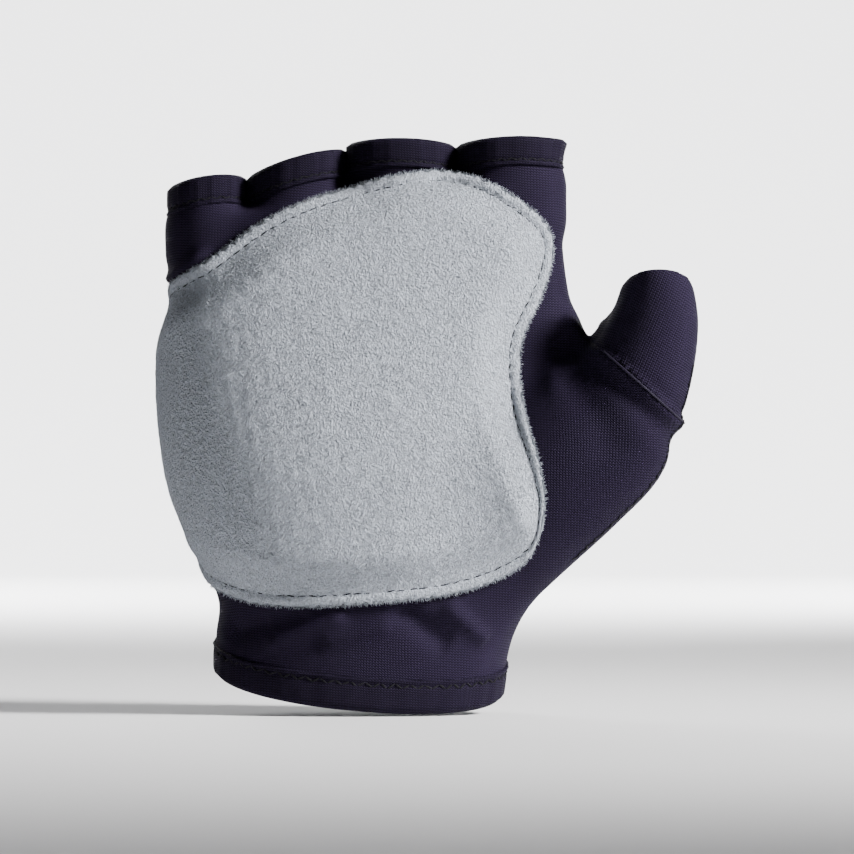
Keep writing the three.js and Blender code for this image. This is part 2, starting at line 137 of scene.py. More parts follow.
# The thumb: its length per share of it at its rim and at its seam, the turn of its knit, how far
# it stands above its top, the x and share of its length from which its rim and seam are its own, how
# near its form a point of the seam lies, and the place along the seam given to points off it.
THUMB_END_SPAN = 44.5
THUMB_SEAM_SPAN = 78.0
THUMB_TURN = 0.45
THUMB_PAST = 6.0
RIM_FROM = (52.0, 0.75)
SEAM_FROM = (40.0, 0.0)
THUMB_NEAR = 3.5
FAR_BEFORE = -9.0

# The rolled rim of the thumb: from an x on, its width and its drop.
RIM_ROLL_X = 50.0
RIM_ROLL = 1.4
RIM_DROP = 0.5

# How far in from the side a fold starts to show, the ridge's start and ramp away from the web, where
# the seam's cord starts round the thumb, the overlock's ends along it and its place round it, and how
# far the threads lie proud.
FACING = 8.0
SEAM_CLEAR = (1.0, 5.0)
CORD_FROM = 0.75
OVERLOCK_ALONG = (0.2, 0.72)
OVERLOCK_TURN = -0.3
CORD_PROUD = 0.02
OVERLOCK_PROUD = 0.08
CUFF_PROUD = 0.34
FINGER_PROUD = 0.32

# Waves across a line, each with its place, width and height: the ridge along the thumb's seam, the
# roll and the stitches' dent of a hem from its edge, and the dent of the patch's seam.
SEAM_WAVES = [(-0.4, 1.2, 1.0), (-3.6, 1.9, -0.8), (1.8, 0.9, -0.25)]
HEM_WAVES = [(0.45, 0.35, 0.2), (STITCH_FROM_EDGE, 0.45, -0.3)]
PATCH_WAVES = [(2.3, 0.5, -0.45)]

# The patch: its clearance over the cloth, the seam's place inside the edge, the crown's start and
# ramp, the pad's edge, floor, least top and room under the leather, the drop and roundness of the
# leather's edge, where it turns from the side to the palm, the steps of the meshes, and the
# simulation's frames, most lift, hold near the seam and settings.
PATCH_GAP = 0.25
STITCH_INSET = PATCH_WAVES[0][0]
CROWN_FROM = 2.8
CROWN_RAMP = 8.5
PAD_FROM = CROWN_FROM + 3.5
PAD_FLOOR = 0.35
PAD_LEAST = 0.75
PAD_ROOM = 0.6
EDGE_DROP = 0.25
EDGE_ROUND = 0.35
WRAP = (-40.0, 12.0)
PATCH_STEP = 0.58
PAD_STEP = 1.8
SIM_STEP = 2.6
SIM_FRAMES = 20
SIM_CAP = 1.6
SIM_HOLD = 1.6
SIM_EASE = 4.0
CLOTH_SETTINGS = dict(
    vertex_group_mass="seam", quality=6, mass=0.25, tension_stiffness=12.0, compression_stiffness=12.0,
    shear_stiffness=6.0, bending_stiffness=0.6, use_pressure=True, uniform_pressure_force=4.0,
)

# The patch's unevenness: height, length and seed of the waves of its cut edge (a long and a short
# row), of its slack face with the start and ramp of its slackness, of its small creases and of its
# line of stitches.
RAGGED = [(0.28, 1.9, 3), (0.22, 0.8, 4)]
SLACK = (0.07, 17, 5)
SLACK_FROM = (5, 8)
CREASED = (0.05, 3.2, 6)
SEWN = (0.04, 9, 12)

# The patch's outline: x and height over the palm, then height and y round the little-finger side.
PATCH_PALM = [
    (-0.472, 0.716), (-0.4, 0.757), (-0.257, 0.832), (-0.134, 0.877), (0.0, 0.907), (0.11, 0.926),
    (0.212, 0.933), (0.31, 0.918), (0.4, 0.882), (0.478, 0.832), (0.492, 0.785), (0.468, 0.715),
    (0.414, 0.629), (0.408, 0.547), (0.424, 0.475), (0.458, 0.388), (0.466, 0.33), (0.45, 0.262),
    (0.4, 0.212), (0.242, 0.168), (0.017, 0.15), (-0.185, 0.145), (-0.32, 0.162), (-0.395, 0.205),
]
PATCH_BACK = [
    (0.25, 0.03), (0.3, 0.13), (0.36, 0.21), (0.43, 0.255), (0.5, 0.27), (0.56, 0.255),
    (0.62, 0.21), (0.67, 0.12), (0.705, 0.0),
]

# The march from outside on to the glove under the patch: its start, end and step, then its halvings.
MARCH_FROM, MARCH_TO, MARCH_STEP = 24.0, -8.0, 1.5
MARCH_HALVINGS = 11

# Stitches: pitch, length and thickness, then slant in radians and unevenness.
CUFF_STITCH = (1.7, 1.9, 0.45, 0.55, 0.12)
FINGER_STITCH = (1.2, 1.3, 0.36, 0.45, 0.12)
PATCH_STITCH = (2.5, 2.2, 0.36, 0.06, 0.22)
OVERLOCK = (1.25, 1.6, 0.55, 0.7, 0.45)

# Tufts of the nap, fibres of the cut edge in metres, and for each row of fibres its place inside the
# edge, its height and how far its fibres spread.
NAP = {"Density": 3.0 / MM**2, "Length": 0.44 * MM, "Thickness": 0.34 * MM, "Lean": 1.2, "Seed": 21}
FIBRE = {"Pitch": 0.15 * MM, "Length": 1.15 * MM, "Thickness": 0.17 * MM}
EDGE_FIBRES = [(0.25, 0.9, 0.9), (0.05, 0.5, 0.7)]
SEAM_CORD = {"Thickness": 0.5 * MM}

# A knit loop's width, height and relief in metres.
KNIT_LOOP = (0.00066, 0.00058, 0.00016)
HEM_LOOP = (0.00064, 0.00056, 0.00014)


class Table:
    """Rows of named columns, read between the rows on a smooth curve."""

    def __init__(self, columns, rows):
        names = columns.split()
        values = np.array(rows, float)
        self.place = values[:, 0]
        self.columns = {name: values[:, i] for i, name in enumerate(names)}

    def __call__(self, column, place):
        k, v = self.place, self.columns[column]
        place = np.asarray(place, float)
        i = np.clip(np.searchsorted(k, place, side="right") - 1, 0, len(k) - 2)
        before, after = np.maximum(i - 1, 0), np.minimum(i + 2, len(k) - 1)
        span = k[i + 1] - k[i]
        start = (v[i + 1] - v[before]) / (k[i + 1] - k[before]) * span
        end = (v[after] - v[i]) / (k[after] - k[i]) * span
        t = np.minimum((place - k[i]) / span, 1.0)
        t2, t3 = t * t, t * t * t
        curve = (2 * t3 - 3 * t2 + 1) * v[i] + (t3 - 2 * t2 + t) * start
        curve = curve + (3 * t2 - 2 * t3) * v[i + 1] + (t3 - t2) * end
        return np.where(t < 0, v[i] + start * t, curve)


W, P = (WRIST_WIDTH, WRIST_DEPTH), (PALM_WIDTH, PALM_DEPTH)


def hand_rows(rows):
    """Turns the rows' shares of the wrist or the palm into lengths."""
    return [
        (up, w * lit, w * thu, d * pal, d * bac, square, tilt, lean)
        for up, (w, d), lit, thu, pal, bac, square, tilt, lean in rows
    ]


HAND = Table("up little thumb palm back square tilt lean", hand_rows([
    (0.0, W, 0.5, 0.5, 0.5, 0.5, 2.1, -0.085, 0.26),
    (0.07, W, 0.497, 0.52, 0.5, 0.485, 2.15, -0.075, 0.22),
    (0.135, W, 0.488, 0.555, 0.505, 0.468, 2.2, -0.05, 0.15),
    (0.21, P, 0.388, 0.438, 0.67, 0.575, 2.25, -0.01, 0.08),
    (0.31, P, 0.422, 0.472, 0.69, 0.56, 2.3, 0, 0.03),
    (0.4, P, 0.444, 0.5, 0.685, 0.545, 2.35, 0, 0),
    (0.5, P, 0.458, 0.522, 0.64, 0.515, 2.4, 0, 0),
    (0.6, P, 0.463, 0.552, 0.58, 0.485, 2.45, 0, 0),
    (0.65, P, 0.464, 0.56, 0.545, 0.47, 2.5, 0.01, 0),
    (0.7, P, 0.466, 0.536, 0.51, 0.452, 2.5, 0.03, 0),
    (0.77, P, 0.47, 0.52, 0.46, 0.425, 2.6, 0.07, 0),
    (0.84, P, 0.476, 0.515, 0.405, 0.39, 2.8, 0.1, 0),
    (0.88, P, 0.478, 0.516, 0.376, 0.364, 3.0, 0.11, 0),
    (0.97, P, 0.478, 0.516, 0.352, 0.34, 3.2, 0.11, 0),
]))
KNUCKLE_UP = 0.88

# Name, width, depth, rim height, slope of the rim and place towards the back. The hems' edges run
# a little more level than the solids' do.
FINGERS = [
    ("index", 0.263, 1.0, 0.994, 0.04, 0.0),
    ("middle", 0.267, 1.0, 0.991, -0.01, 0.02),
    ("ring", 0.243, 0.98, 0.957, 0.29, 0.02),
    ("little", 0.189, 0.9, 0.922, 0.15, -0.02),
]
FINGER_ROUND = 0.92
DIP_ABOVE = 0.3

THUMB = Table("along outer_x outer_z inner_x inner_z palm depth lean", [
    (0.0, 0.38, 0.1, 0.03, 0.36, 0.16, 0.7, 0),
    (0.16, 0.6, 0.272, 0.21, 0.55, 0.25, 0.94, 0),
    (0.32, 0.765, 0.4, 0.39, 0.685, 0.34, 0.98, 0),
    (0.46, 0.89, 0.515, 0.565, 0.785, 0.4, 0.92, 0),
    (0.58, 0.948, 0.65, 0.69, 0.846, 0.45, 0.84, 0),
    (0.72, 0.986, 0.775, 0.728, 0.892, 0.48, 0.78, -0.06),
    (0.86, 1.0, 0.893, 0.756, 0.94, 0.5, 0.745, -0.18),
    (1.0, 0.985, 0.985, 0.775, 0.985, 0.51, 0.71, -0.33),
])
THUMB_SEAM = 0.58
THUMB_SECTIONS = 34

# Folds along a line on the palm (-1), the back (1) or round the side (0): ends, width and height in
# millimetres.
FOLDS = [
    (-1, -21, 8.5, -2, 16, 1.7, 1.9),
    (-1, -12, 17, -30, 10, 2.4, -0.9),
    (-1, -9, 9.5, 8, 14.5, 2.0, 1.2),
    (-1, 9, 17.5, 21, 8.7, 2.6, -1.8),
    (-1, 19, 19, 29, 9.5, 2.0, 1.5),
    (-1, -29, 12, -20, 15, 1.6, -0.9),
    (-1, 45, 82, 51, 60, 3.4, -0.5),
    (-1, 49, 74, 58, 50, 4.5, -0.8),
    (-1, 43, 80, 44, 64, 2.0, 0.5),
    (1, 32, 21, -9, 41, 2.4, 1.2),
    (1, 31, 16, -16, 33, 1.9, 1.1),
    (1, 30, 13, -24, 21, 2.2, 1.4),
    (1, 28, 11, -28, 14, 1.6, 0.8),
    (1, 36, 27, 6, 52, 2.6, 0.8),
    (1, 42, 98, 14, 108, 2.0, 1.2),
    (1, 40, 93, 22, 104, 1.6, 0.8),
    (1, 9, 103, -36, 95, 2.0, 0.9),
    (1, 22, 112, 23, 96, 2.4, -1.1),
    (1, -2.5, 110, -1, 99, 2.2, -0.9),
    (1, -25, 107, -22, 97, 2.2, -0.9),
    (0, -54, 84, -33, 98, 1.5, 1.7),
]


def ramp(value, start=0.0, length=1.0):
    """0 up to the start and 1 past the length, smooth between them."""
    t = np.clip((value - start) / length, 0, 1)
    return t * t * (3 - 2 * t)


def hump(value, middle, width):
    """1 at the middle, falling to 0 on both sides over about two widths."""
    return np.exp(-(((value - middle) / width) ** 2))


def waves(value, rows):
    """A height made of humps: each one's place, width and height."""
    return sum(high * hump(value, place, wide) for place, wide, high in rows)


def unit(ways):
    """Directions brought to a length of 1."""
    return ways / np.maximum(np.linalg.norm(ways, axis=-1, keepdims=True), 1e-9)


def soft_min(a, b, soft):
    h = np.clip(0.5 + (b - a) / (2 * soft), 0, 1)
    return b + (a - b) * h - soft * h * (1 - h)


def soft_max(a, b, soft):
    return -soft_min(-a, -b, soft)


def hand_up(x, y, z):
    """The share of the hand's height whose slanted section passes through a point."""
    up = z / HAND_LENGTH
    for _ in range(3):
        up = (z - HAND("tilt", up) * x - HAND("lean", up) * y) / HAND_LENGTH
    return up


def hand_field(x, y, z):
    """Distance outside the hand's round sections, below 0 inside."""
    up = np.clip(hand_up(x, y, z), -0.1, 1.0)
    little, thumb = HAND("little", up), HAND("thumb", up)
    half = (little + thumb) / 2
    depth = np.where(y > 0, HAND("back", up), HAND("palm", up))
    n = HAND("square", up)
    u = np.abs(x - (thumb - little) / 2) / half + 1e-6
    v = np.abs(y) / depth + 1e-6
    r = (u**n + v**n) ** (1 / n)
    steep = r ** (1 - n) * np.hypot(u ** (n - 1) / half, v ** (n - 1) / depth)
    top = z - HAND("tilt", KNUCKLE_UP) * x - KNUCKLE_UP * HAND_LENGTH
    return soft_max((r - 1) / np.maximum(steep, 0.01), top, CAP_SOFT)


def squared(angle, power):
    """The two coordinates of a circle drawn out towards a rounded square."""
    return [np.sign(c) * np.abs(c) ** power for c in (np.cos(angle), np.sin(angle))]


class Finger:
    """A short finger: an upright oval tube with a sloping, slightly hollow rim."""

    def __init__(self, edge, name, width, depth, rim, slope, back):
        self.name, self.slope = name, slope
        self.half, self.deep = width * PALM_WIDTH / 2, depth * FINGER_DEPTH / 2
        self.x, self.y, self.rim = edge - self.half, back * PALM_DEPTH, rim * HAND_LENGTH

    def round(self, x, y):
        """A point's place in the oval, as shares of its half width and depth, and its distance."""
        u, v = (x - self.x) / self.half, (y - self.y) / self.deep
        return u, v, np.hypot(u, v) + 1e-6

    def field(self, x, y, z):
        u, v, r = self.round(x, y)
        side = (r - 1) / np.maximum(np.hypot(u / self.half, v / self.deep) / r, 0.01)
        return soft_max(side, self.rim - FINGER_ROOT - z, CAP_SOFT)

    def below(self, x, y, z):
        """How far a point lies below the rim."""
        u, _, r = self.round(x, y)
        return self.rim + self.slope * (x - self.x) - FINGER_DIP * ((u / r) ** 2 - DIP_ABOVE) - z

    def ring(self, below, angle, grow):
        """Points round the finger, some way below its rim and outside it."""
        x, y = squared(angle, FINGER_ROUND)
        x, y = x * (self.half + grow), y * (self.deep + grow)
        dip = FINGER_DIP * (np.cos(angle) ** 2 - DIP_ABOVE)
        return np.stack([self.x + x, self.y + y, self.rim - below + self.slope * x - dip], -1)


def placed_fingers():
    """The fingers side by side from the knuckle edge."""
    edge, placed = KNUCKLE_EDGE, []
    for row in FINGERS:
        placed.append(Finger(edge, *row))
        edge -= 2 * placed[-1].half + FINGER_SPACE
    return placed


PLACED = placed_fingers()


def thumb_section(along):
    """Middle, half width, direction, half depth and lean of the thumb's sections."""
    outer, inner = (
        np.stack([THUMB(edge + "_x", along) * THUMB_REACH, THUMB(edge + "_z", along) * THUMB_TOP], -1)
        for edge in ("outer", "inner")
    )
    side = (outer - inner) / 2
    half = np.linalg.norm(side, axis=-1)
    y = -THUMB("palm", along) * THUMB_DEPTH
    deep = THUMB("depth", along) * THUMB_DEPTH / 2
    return (outer + inner) / 2, half, side / half[..., None], y, deep, THUMB("lean", along)


def thumb_field(x, y, z):
    """Distance outside the thumb, and how far along it a point lies."""
    along = np.linspace(0, 1, THUMB_SECTIONS)
    middle, half, side, mid_y, deep, lean = thumb_section(along)
    best = np.full(x.shape, FAR)
    where = np.full(x.shape, -1.0)
    last = len(along) - 1

    def frame_of(i):
        dx, dz = x - middle[i, 0], z - lean[i] * (y - mid_y[i]) - middle[i, 1]
        return dx * side[i, 0] + dz * side[i, 1], dz * side[i, 0] - dx * side[i, 1]

    across_a, past_a = frame_of(0)
    for i in range(last):
        across_b, past_b = frame_of(i + 1)
        over = i == last - 1
        hit = (past_a >= 0) & ((past_b < 0) | over)
        t = past_a / np.maximum(past_a - past_b, 1e-6)
        s = np.clip(t, 0, 1)
        h = half[i] + (half[i + 1] - half[i]) * s
        d = deep[i] + (deep[i + 1] - deep[i]) * s
        u = (across_a + (across_b - across_a) * s) / h
        v = (y - mid_y[i] - (mid_y[i + 1] - mid_y[i]) * s) / d
        r = np.hypot(u, v) + 1e-6
        away = (r - 1) / np.maximum(np.hypot(u / h, v / d) / r, 0.01)
        hit &= away < best
        best = np.where(hit, away, best)
        where = np.where(hit, along[i] + (along[i + 1] - along[i]) * t, where)
        across_a, past_a = across_b, past_b
    return best, where


def web_field(x, y, z):
    """A thin web that closes the crotch of the thumb to a sharp corner."""
    x, y, z = x - WEB[0], y - WEB[1], z - WEB[2]
    past_index, past_thumb = (way[0] * x + way[1] * z for way in (PAST_INDEX, PAST_THUMB))
    notch = soft_min(past_index, past_thumb, WEB_SHARP)
    thin = np.sqrt(y * y + 1) - WEB_THICK
    return soft_max(soft_max(notch, thin, WEB_ROUND), np.hypot(x, z) - WEB_REACH, WEB_ROUND)


def glove_field(points, soft=FINGER_SOFT):
    """Distance outside the whole glove, with its parts run softly together."""
    x, y, z = points.T
    fingers = PLACED[0].field(x, y, z)
    for f in PLACED[1:]:
        fingers = soft_min(fingers, f.field(x, y, z), soft)
    field = soft_min(hand_field(x, y, z), fingers, KNUCKLE_SOFT)
    near = (x > 0) & (z < THUMB_TOP + THUMB_PAST)
    thumb = np.full(len(x), FAR)
    thumb[near] = thumb_field(x[near], y[near], z[near])[0]
    return soft_min(soft_min(field, thumb, THUMB_SOFT), web_field(x, y, z), WEB_SOFT)


def leather_bed(points):
    """The glove's field as stiff leather finds it, bridging the valleys between the fingers."""
    return glove_field(points, LEATHER_SOFT)


def slope_of(points, field=glove_field, step=0.05):
    """Outward direction of the field at points, and its steepness."""
    slope = np.empty_like(points)
    for axis in range(3):
        move = np.zeros(3)
        move[axis] = step
        slope[:, axis] = (field(points + move) - field(points - move)) / (2 * step)
    steep = np.linalg.norm(slope, axis=1, keepdims=True)
    return slope / np.maximum(steep, 1e-6), steep[:, 0]


def settle(points, rounds=3):
    """Moves points on to the glove's surface."""
    for _ in range(rounds):
        way, steep = slope_of(points)
        points = points - way * (glove_field(points) / np.maximum(steep, 0.3))[:, None]
    return points


def surface_net(low, high, step):
    """Vertices and outward quads round the inside of the glove field."""
    axes = [np.arange(a, b, step) for a, b in zip(low, high)]
    grid = np.stack(np.meshgrid(*axes, indexing="ij"), -1).reshape(-1, 3)
    inside = glove_field(grid).reshape([len(a) for a in axes]) < 0
    count = sum(
        inside[i:i - 1 or None, j:j - 1 or None, k:k - 1 or None].astype(np.int8)
        for i in (0, 1) for j in (0, 1) for k in (0, 1)
    )
    active = (count > 0) & (count < 8)
    number = np.full(active.shape, -1)
    number[active] = np.arange(active.sum())
    points = np.array(low) + (np.argwhere(active) + 0.5) * step
    quads = []
    for axis in range(3):
        a = np.moveaxis(inside, axis, 0)
        n = np.moveaxis(number, axis, 0)
        starts = np.argwhere(a[:-1] != a[1:])
        starts = starts[(starts[:, 1] > 0) & (starts[:, 2] > 0)]
        i, j, k = starts.T
        ok = (j < n.shape[1]) & (k < n.shape[2])
        i, j, k = i[ok], j[ok], k[ok]
        ring = np.stack([n[i, j - 1, k - 1], n[i, j, k - 1], n[i, j, k], n[i, j - 1, k]], 1)
        turn = a[:-1][i, j, k] ^ (axis == 1)
        ring[~turn] = ring[~turn][:, ::-1]
        quads.append(ring)
    return points, np.concatenate(quads)


def relax(points, quads, rounds):
    """Evens out a net by moving each point towards its neighbours' mean."""
    a = np.concatenate([quads[:, i] for i in range(4)])
    b = np.concatenate([quads[:, (i + 1) % 4] for i in range(4)])
    for _ in range(rounds):
        total, count = np.zeros_like(points), np.zeros(len(points))
        for s, t in ((a, b), (b, a)):
            np.add.at(total, s, points[t])
            np.add.at(count, s, 1)
        points = points + 0.5 * (total / np.maximum(count, 1)[:, None] - points)
    return points


def fold_height(points):
    """Height of the folds of the cloth at points."""
    height = np.zeros(len(points))
    for side, x0, z0, x1, z1, wide, high in FOLDS:
        along = np.array([x1 - x0, z1 - z0])
        flat = points[:, [0, 2]] - (x0, z0)
        t = np.clip(flat @ along / (along @ along), 0, 1)
        away = np.linalg.norm(flat - t[:, None] * along, axis=1)
        fade = ramp(4 * t * (1 - t) * 1.6 + 0.15)
        facing = ramp(side * points[:, 1], 0, FACING) if side else 1.0
        height += high * fade * facing * hump(away, 0, wide)
    return height


def in_scene(name, data):
    """An object of the scene, at the origin."""
    made = bpy.data.objects.new(name, data)
    bpy.context.scene.collection.objects.link(made)
    return made


def new_object(name, points, faces, material):
    """A smooth mesh object from points in millimetres."""
    mesh = bpy.data.meshes.new(name)
    mesh.from_pydata((np.asarray(points) * MM).tolist(), [], np.asarray(faces).tolist())
    mesh.polygons.foreach_set("use_smooth", [True] * len(mesh.polygons))
    mesh.materials.append(material)
    mesh.update()
    return in_scene(name, mesh)


def walled(points, normals, quads, wall):
    """Gives a sheet of quads a wall towards the inside and closes its edges."""
    count = len(points)
    edges = np.concatenate([quads[:, [i, (i + 1) % 4]] for i in range(4)])
    key = np.sort(edges, axis=1)
    _, index, uses = np.unique(key, axis=0, return_index=True, return_counts=True)
    rim = edges[index[uses == 1]]
    side = np.stack([rim[:, 1], rim[:, 0], rim[:, 0] + count, rim[:, 1] + count], 1)
    faces = np.concatenate([quads, quads[:, ::-1] + count, side])
    return np.concatenate([points, points - wall * normals]), faces


def piece(made, nodes=()):
    """Declares a finished piece to the frame."""
    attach(made, BODY)
    if nodes:
        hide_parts(*nodes)
    return made


# Nodes of materials and of geometry


class Value:
    """A node socket that can be used in sums, products and powers."""

    def __init__(self, tree, socket):
        self.tree, self.socket = tree, socket

    def other(self, name):
        """Another socket of the same node."""
        return Value(self.tree, self.socket.node.outputs[name])

    def math(self, operation, *others, swap=False):
        values = [self, *others]
        if swap:
            values = values[::-1]
        return self.tree.node("ShaderNodeMath", {"operation": operation}, dict(enumerate(values)))

    def __add__(self, other):
        return self.math("ADD", other)

    def __sub__(self, other):
        return self.math("SUBTRACT", other)

    def __rsub__(self, other):
        return self.math("SUBTRACT", other, swap=True)

    def __mul__(self, other):
        return self.math("MULTIPLY", other)

    def __truediv__(self, other):
        return self.math("DIVIDE", other)

    def __rtruediv__(self, other):
        return self.math("DIVIDE", other, swap=True)

    def __pow__(self, other):
        return self.math("POWER", other)

    __radd__, __rmul__ = __add__, __mul__

    def sine(self):
        return self.math("SINE")

    def size(self):
        return self.math("ABSOLUTE")

    def part(self):
        return self.math("FRACT")

    def step(self, low, high):
        """0 below low, 1 above high and smooth between them."""
        settings = {"interpolation_type": "SMOOTHSTEP"}
        return self.tree.node("ShaderNodeMapRange", settings, {0: self, 1: low, 2: high})


class Tree:
    """Adds nodes to a node tree: a type, its settings, then its sockets."""

    def __init__(self, tree):
        self.tree = tree

    def fill(self, socket, value):
        """Links a value to a socket, or sets the socket to a plain value."""
        if isinstance(value, Value):
            self.tree.links.new(value.socket, socket)
        else:
            socket.default_value = value

    def node(self, kind, settings=None, inputs=None, output=0):
        made = self.tree.nodes.new(kind)
        for name, value in (settings or {}).items():
            setattr(made, name, value)
        for key, value in (inputs or {}).items():
            self.fill(made.inputs[key], value)
        return Value(self, made.outputs[output])

    def mix(self, factor, *colours):
        """A colour between two colours."""
        a, b = ((*c, 1.0) if isinstance(c, tuple) else c for c in colours)
        return self.node("ShaderNodeMix", {"data_type": "RGBA"}, {0: factor, 6: a, 7: b}, 2)

    def noise(self, place, scale, detail=3.0, rough=0.55, output=0):
        return self.node("ShaderNodeTexNoise", None,
                         {"Vector": place, "Scale": scale, "Detail": detail, "Roughness": rough}, output)

    def bump(self, strength, distance, height):
        return self.node("ShaderNodeBump", None,
                         {"Strength": strength, "Distance": distance, "Height": height})

    def place(self):
        """The point on the object, in metres."""
        return self.node("ShaderNodeTexCoord", None, None, "Object")

    def attribute(self, name, output="Fac"):
        return self.node("ShaderNodeAttribute", {"attribute_name": name}, None, output)

    def parts(self, vector):
        """The three parts of a vector."""
        x = self.node("ShaderNodeSeparateXYZ", None, {0: vector})
        return x, x.other(1), x.other(2)


class Finish(Tree):
    """A material's Principled shader: steady values at its start, varying ones fed to it later."""

    def __init__(self, name, **steady):
        self.material = bpy.data.materials.new(name)
        self.material.use_nodes = True
        super().__init__(self.material.node_tree)
        self.feed(**steady)

    def feed(self, **values):
        shader = self.tree.nodes["Principled BSDF"]
        for name, value in values.items():
            self.fill(shader.inputs[name.replace("_", " ")], value)
        return self.material


def shade(colour, share):
    """A colour made darker or brighter."""
    return tuple(c * share for c in colour)


def knit_height(across, up, wale, course):
    """Height of a fine jersey knit: columns of small V loops."""
    column = (across / wale).part() - 0.5
    loop = up / course + across / (course * 11.0) + column.size() * 1.1
    groove = (column.size() * 2.0) ** 2.0
    return (1.0 - 0.55 * groove) * (0.55 + 0.45 * (loop * (2 * math.pi)).sine())


def knit_material(name, colour, loop, sheen):
    """Stretch knit whose columns run up the hand, seen from the palm, the side or above, with painted shade
    between its loops and painted highlight on their tops.
    """
    m = Finish(name, Sheen_Weight=sheen, Sheen_Roughness=0.42, Sheen_Tint=(0.62, 0.55, 0.95, 1.0),
               Specular_IOR_Level=0.04)
    wale, course, depth = loop
    place = m.place()
    x, y, z = m.parts(m.attribute("weave", "Vector"))
    flank, level = m.attribute("flank").step(0.62, 0.8), m.attribute("level").step(0.62, 0.78)
    drift = (m.noise(place, 90.0, 2.0) - 0.5) * 0.0011
    front, side, above = (knit_height(across + drift, up + drift * 0.7, wale, course)
                          for across, up in ((x, z), (y, z), (x, y)))
    height = (front + flank * (side - front)) * (1.0 - level) + level * above
    fuzz = m.noise(place, 2600.0, 2.0)
    cloud = m.noise(place, 38.0, 3.0)
    # Painted light: the colour follows the knit's bump height, so it is darker in the grooves between loops
    # (painted shade) and lighter on the loops' tops (painted highlight). Random fuzz and mottled tone are
    # mixed in.
    lit = (height * 1.2 + 0.4 * fuzz - 0.15) * (0.6 + 0.8 * cloud)
    return m.feed(Base_Color=m.mix(lit, shade(colour, 0.2), shade(colour, 2.3)),
                  Roughness=0.52 + 0.2 * (1.0 - height) + 0.06 * fuzz,
                  Normal=m.bump(0.9, depth, height + 0.35 * fuzz + 0.5 * cloud))


def suede_material(colour):
    """Split leather with a short nap: speckled, mottled and a little streaky, with painted shade in the
    nap's low spots.
    """
    m = Finish("suede", Sheen_Weight=0.1, Sheen_Roughness=0.55, Sheen_Tint=(0.9, 0.94, 1.0, 1.0),
               Specular_IOR_Level=0.18)
    place = m.place()
    warp = m.node("ShaderNodeVectorMath", {"operation": "MULTIPLY_ADD"},
                  {0: m.noise(place, 260.0, 2.0, 0.5, 1), 1: (0.0012, 0.0012, 0.0012), 2: place})
    streaks = []
    for turn in (0.75, -0.1):
        slant = m.node("ShaderNodeMapping", None,
                       {"Vector": warp, "Rotation": (0.0, turn, 0.0), "Scale": (1.0, 1.0, 0.78)})
        streaks.append(m.noise(slant, 2100.0, 3.0, 0.6))
    nap = streaks[0] * 0.5 + streaks[1] * 0.5
    speck = m.noise(place, 3000.0, 2.0, 0.6)
    tuft = m.noise(warp, 700.0, 2.0, 0.5)
    cloud = m.noise(place, 42.0, 3.0, 0.5)
    # Partly painted light: the colour follows the nap's bump height, so it is darker in the nap's low spots
    # and lighter on its raised fibres. This is partly the nap's own speckle and partly painted shade in its
    # pits and painted highlight on its tips.
    nap_speck_and_shade = nap * 0.6 + tuft * 0.15 + speck * 0.25
    speckled_and_shaded = m.mix((nap_speck_and_shade - 0.38) * 4.2, shade(colour, 0.52), shade(colour, 1.2))
    return m.feed(Base_Color=m.mix((cloud - 0.4) * 0.5, speckled_and_shaded, shade(colour, 0.84)),
                  Roughness=0.86 + 0.12 * nap,
                  Normal=m.bump(1.0, 0.0024, nap + tuft * 0.3 + speck * 0.25))


def thread_material(name, colour):
    """Twisted thread with a fine slanting ply."""
    m = Finish(name, Sheen_Weight=0.02, Specular_IOR_Level=0.15)
    place = m.place()
    x, y, z = m.parts(place)
    ply = ((x + y + z * 1.7) * (2 * math.pi / 0.00034)).sine() * 0.5 + 0.5
    fuzz = m.noise(place, 4200.0, 2.0)
    return m.feed(Base_Color=m.mix(ply * 0.6 + fuzz * 0.4, shade(colour, 0.45), shade(colour, 1.5)),
                  Roughness=0.55 + 0.2 * fuzz, Normal=m.bump(0.6, 0.0001, ply + fuzz * 0.5))


def foam_material():
    """Dull closed-cell padding with small pores."""
    m = Finish("pad_foam", Specular_IOR_Level=0.25)
    place = m.place()
    pores = m.node("ShaderNodeTexVoronoi", None, {"Vector": place, "Scale": 900.0})
    soft = m.noise(place, 300.0)
    return m.feed(Base_Color=m.mix(pores * 0.7 + soft * 0.4, (0.02, 0.02, 0.022), (0.075, 0.075, 0.08)),
                  Roughness=0.75 + 0.15 * soft, Normal=m.bump(0.5, 0.0003, pores))


def floor_material(colour):
    """Plain pale paper with a faint tooth."""
    m = Finish("paper", Specular_IOR_Level=0.2)
    tooth = m.noise(m.place(), 60.0, 3.0)
    return m.feed(Base_Color=m.mix(tooth, shade(colour, 0.985), colour), Roughness=0.8 + 0.1 * tooth)


MATERIALS = {}


def look(name):
    """The named finish, made once."""
    if not MATERIALS:
        looks = bpy.context.scene.glove_looks
        knit, suede, thread = tuple(looks.knit), tuple(looks.suede), tuple(looks.thread)
        MATERIALS.update(
            knit=knit_material("knit", knit, KNIT_LOOP, looks.sheen),
            hem=knit_material("hem_knit", shade(knit, 0.7), HEM_LOOP, looks.sheen),
            suede=suede_material(suede),
            thread=thread_material("thread", thread),
            cloth_thread=thread_material("cloth_thread", shade(knit, 1.6)),
            foam=foam_material(),
            paper=floor_material((0.8, 0.8, 0.81)),
        )
    return MATERIALS[name]


# Cloth


def cloth_net():
    """The glove's outside as points and quads."""
    points, quads = surface_net(NET_LOW, NET_HIGH, NET_STEP)
    points = settle(points, rounds=2)
    points = settle(relax(points, quads, 4), rounds=2)
    return settle(relax(points, quads, 2), rounds=1), quads


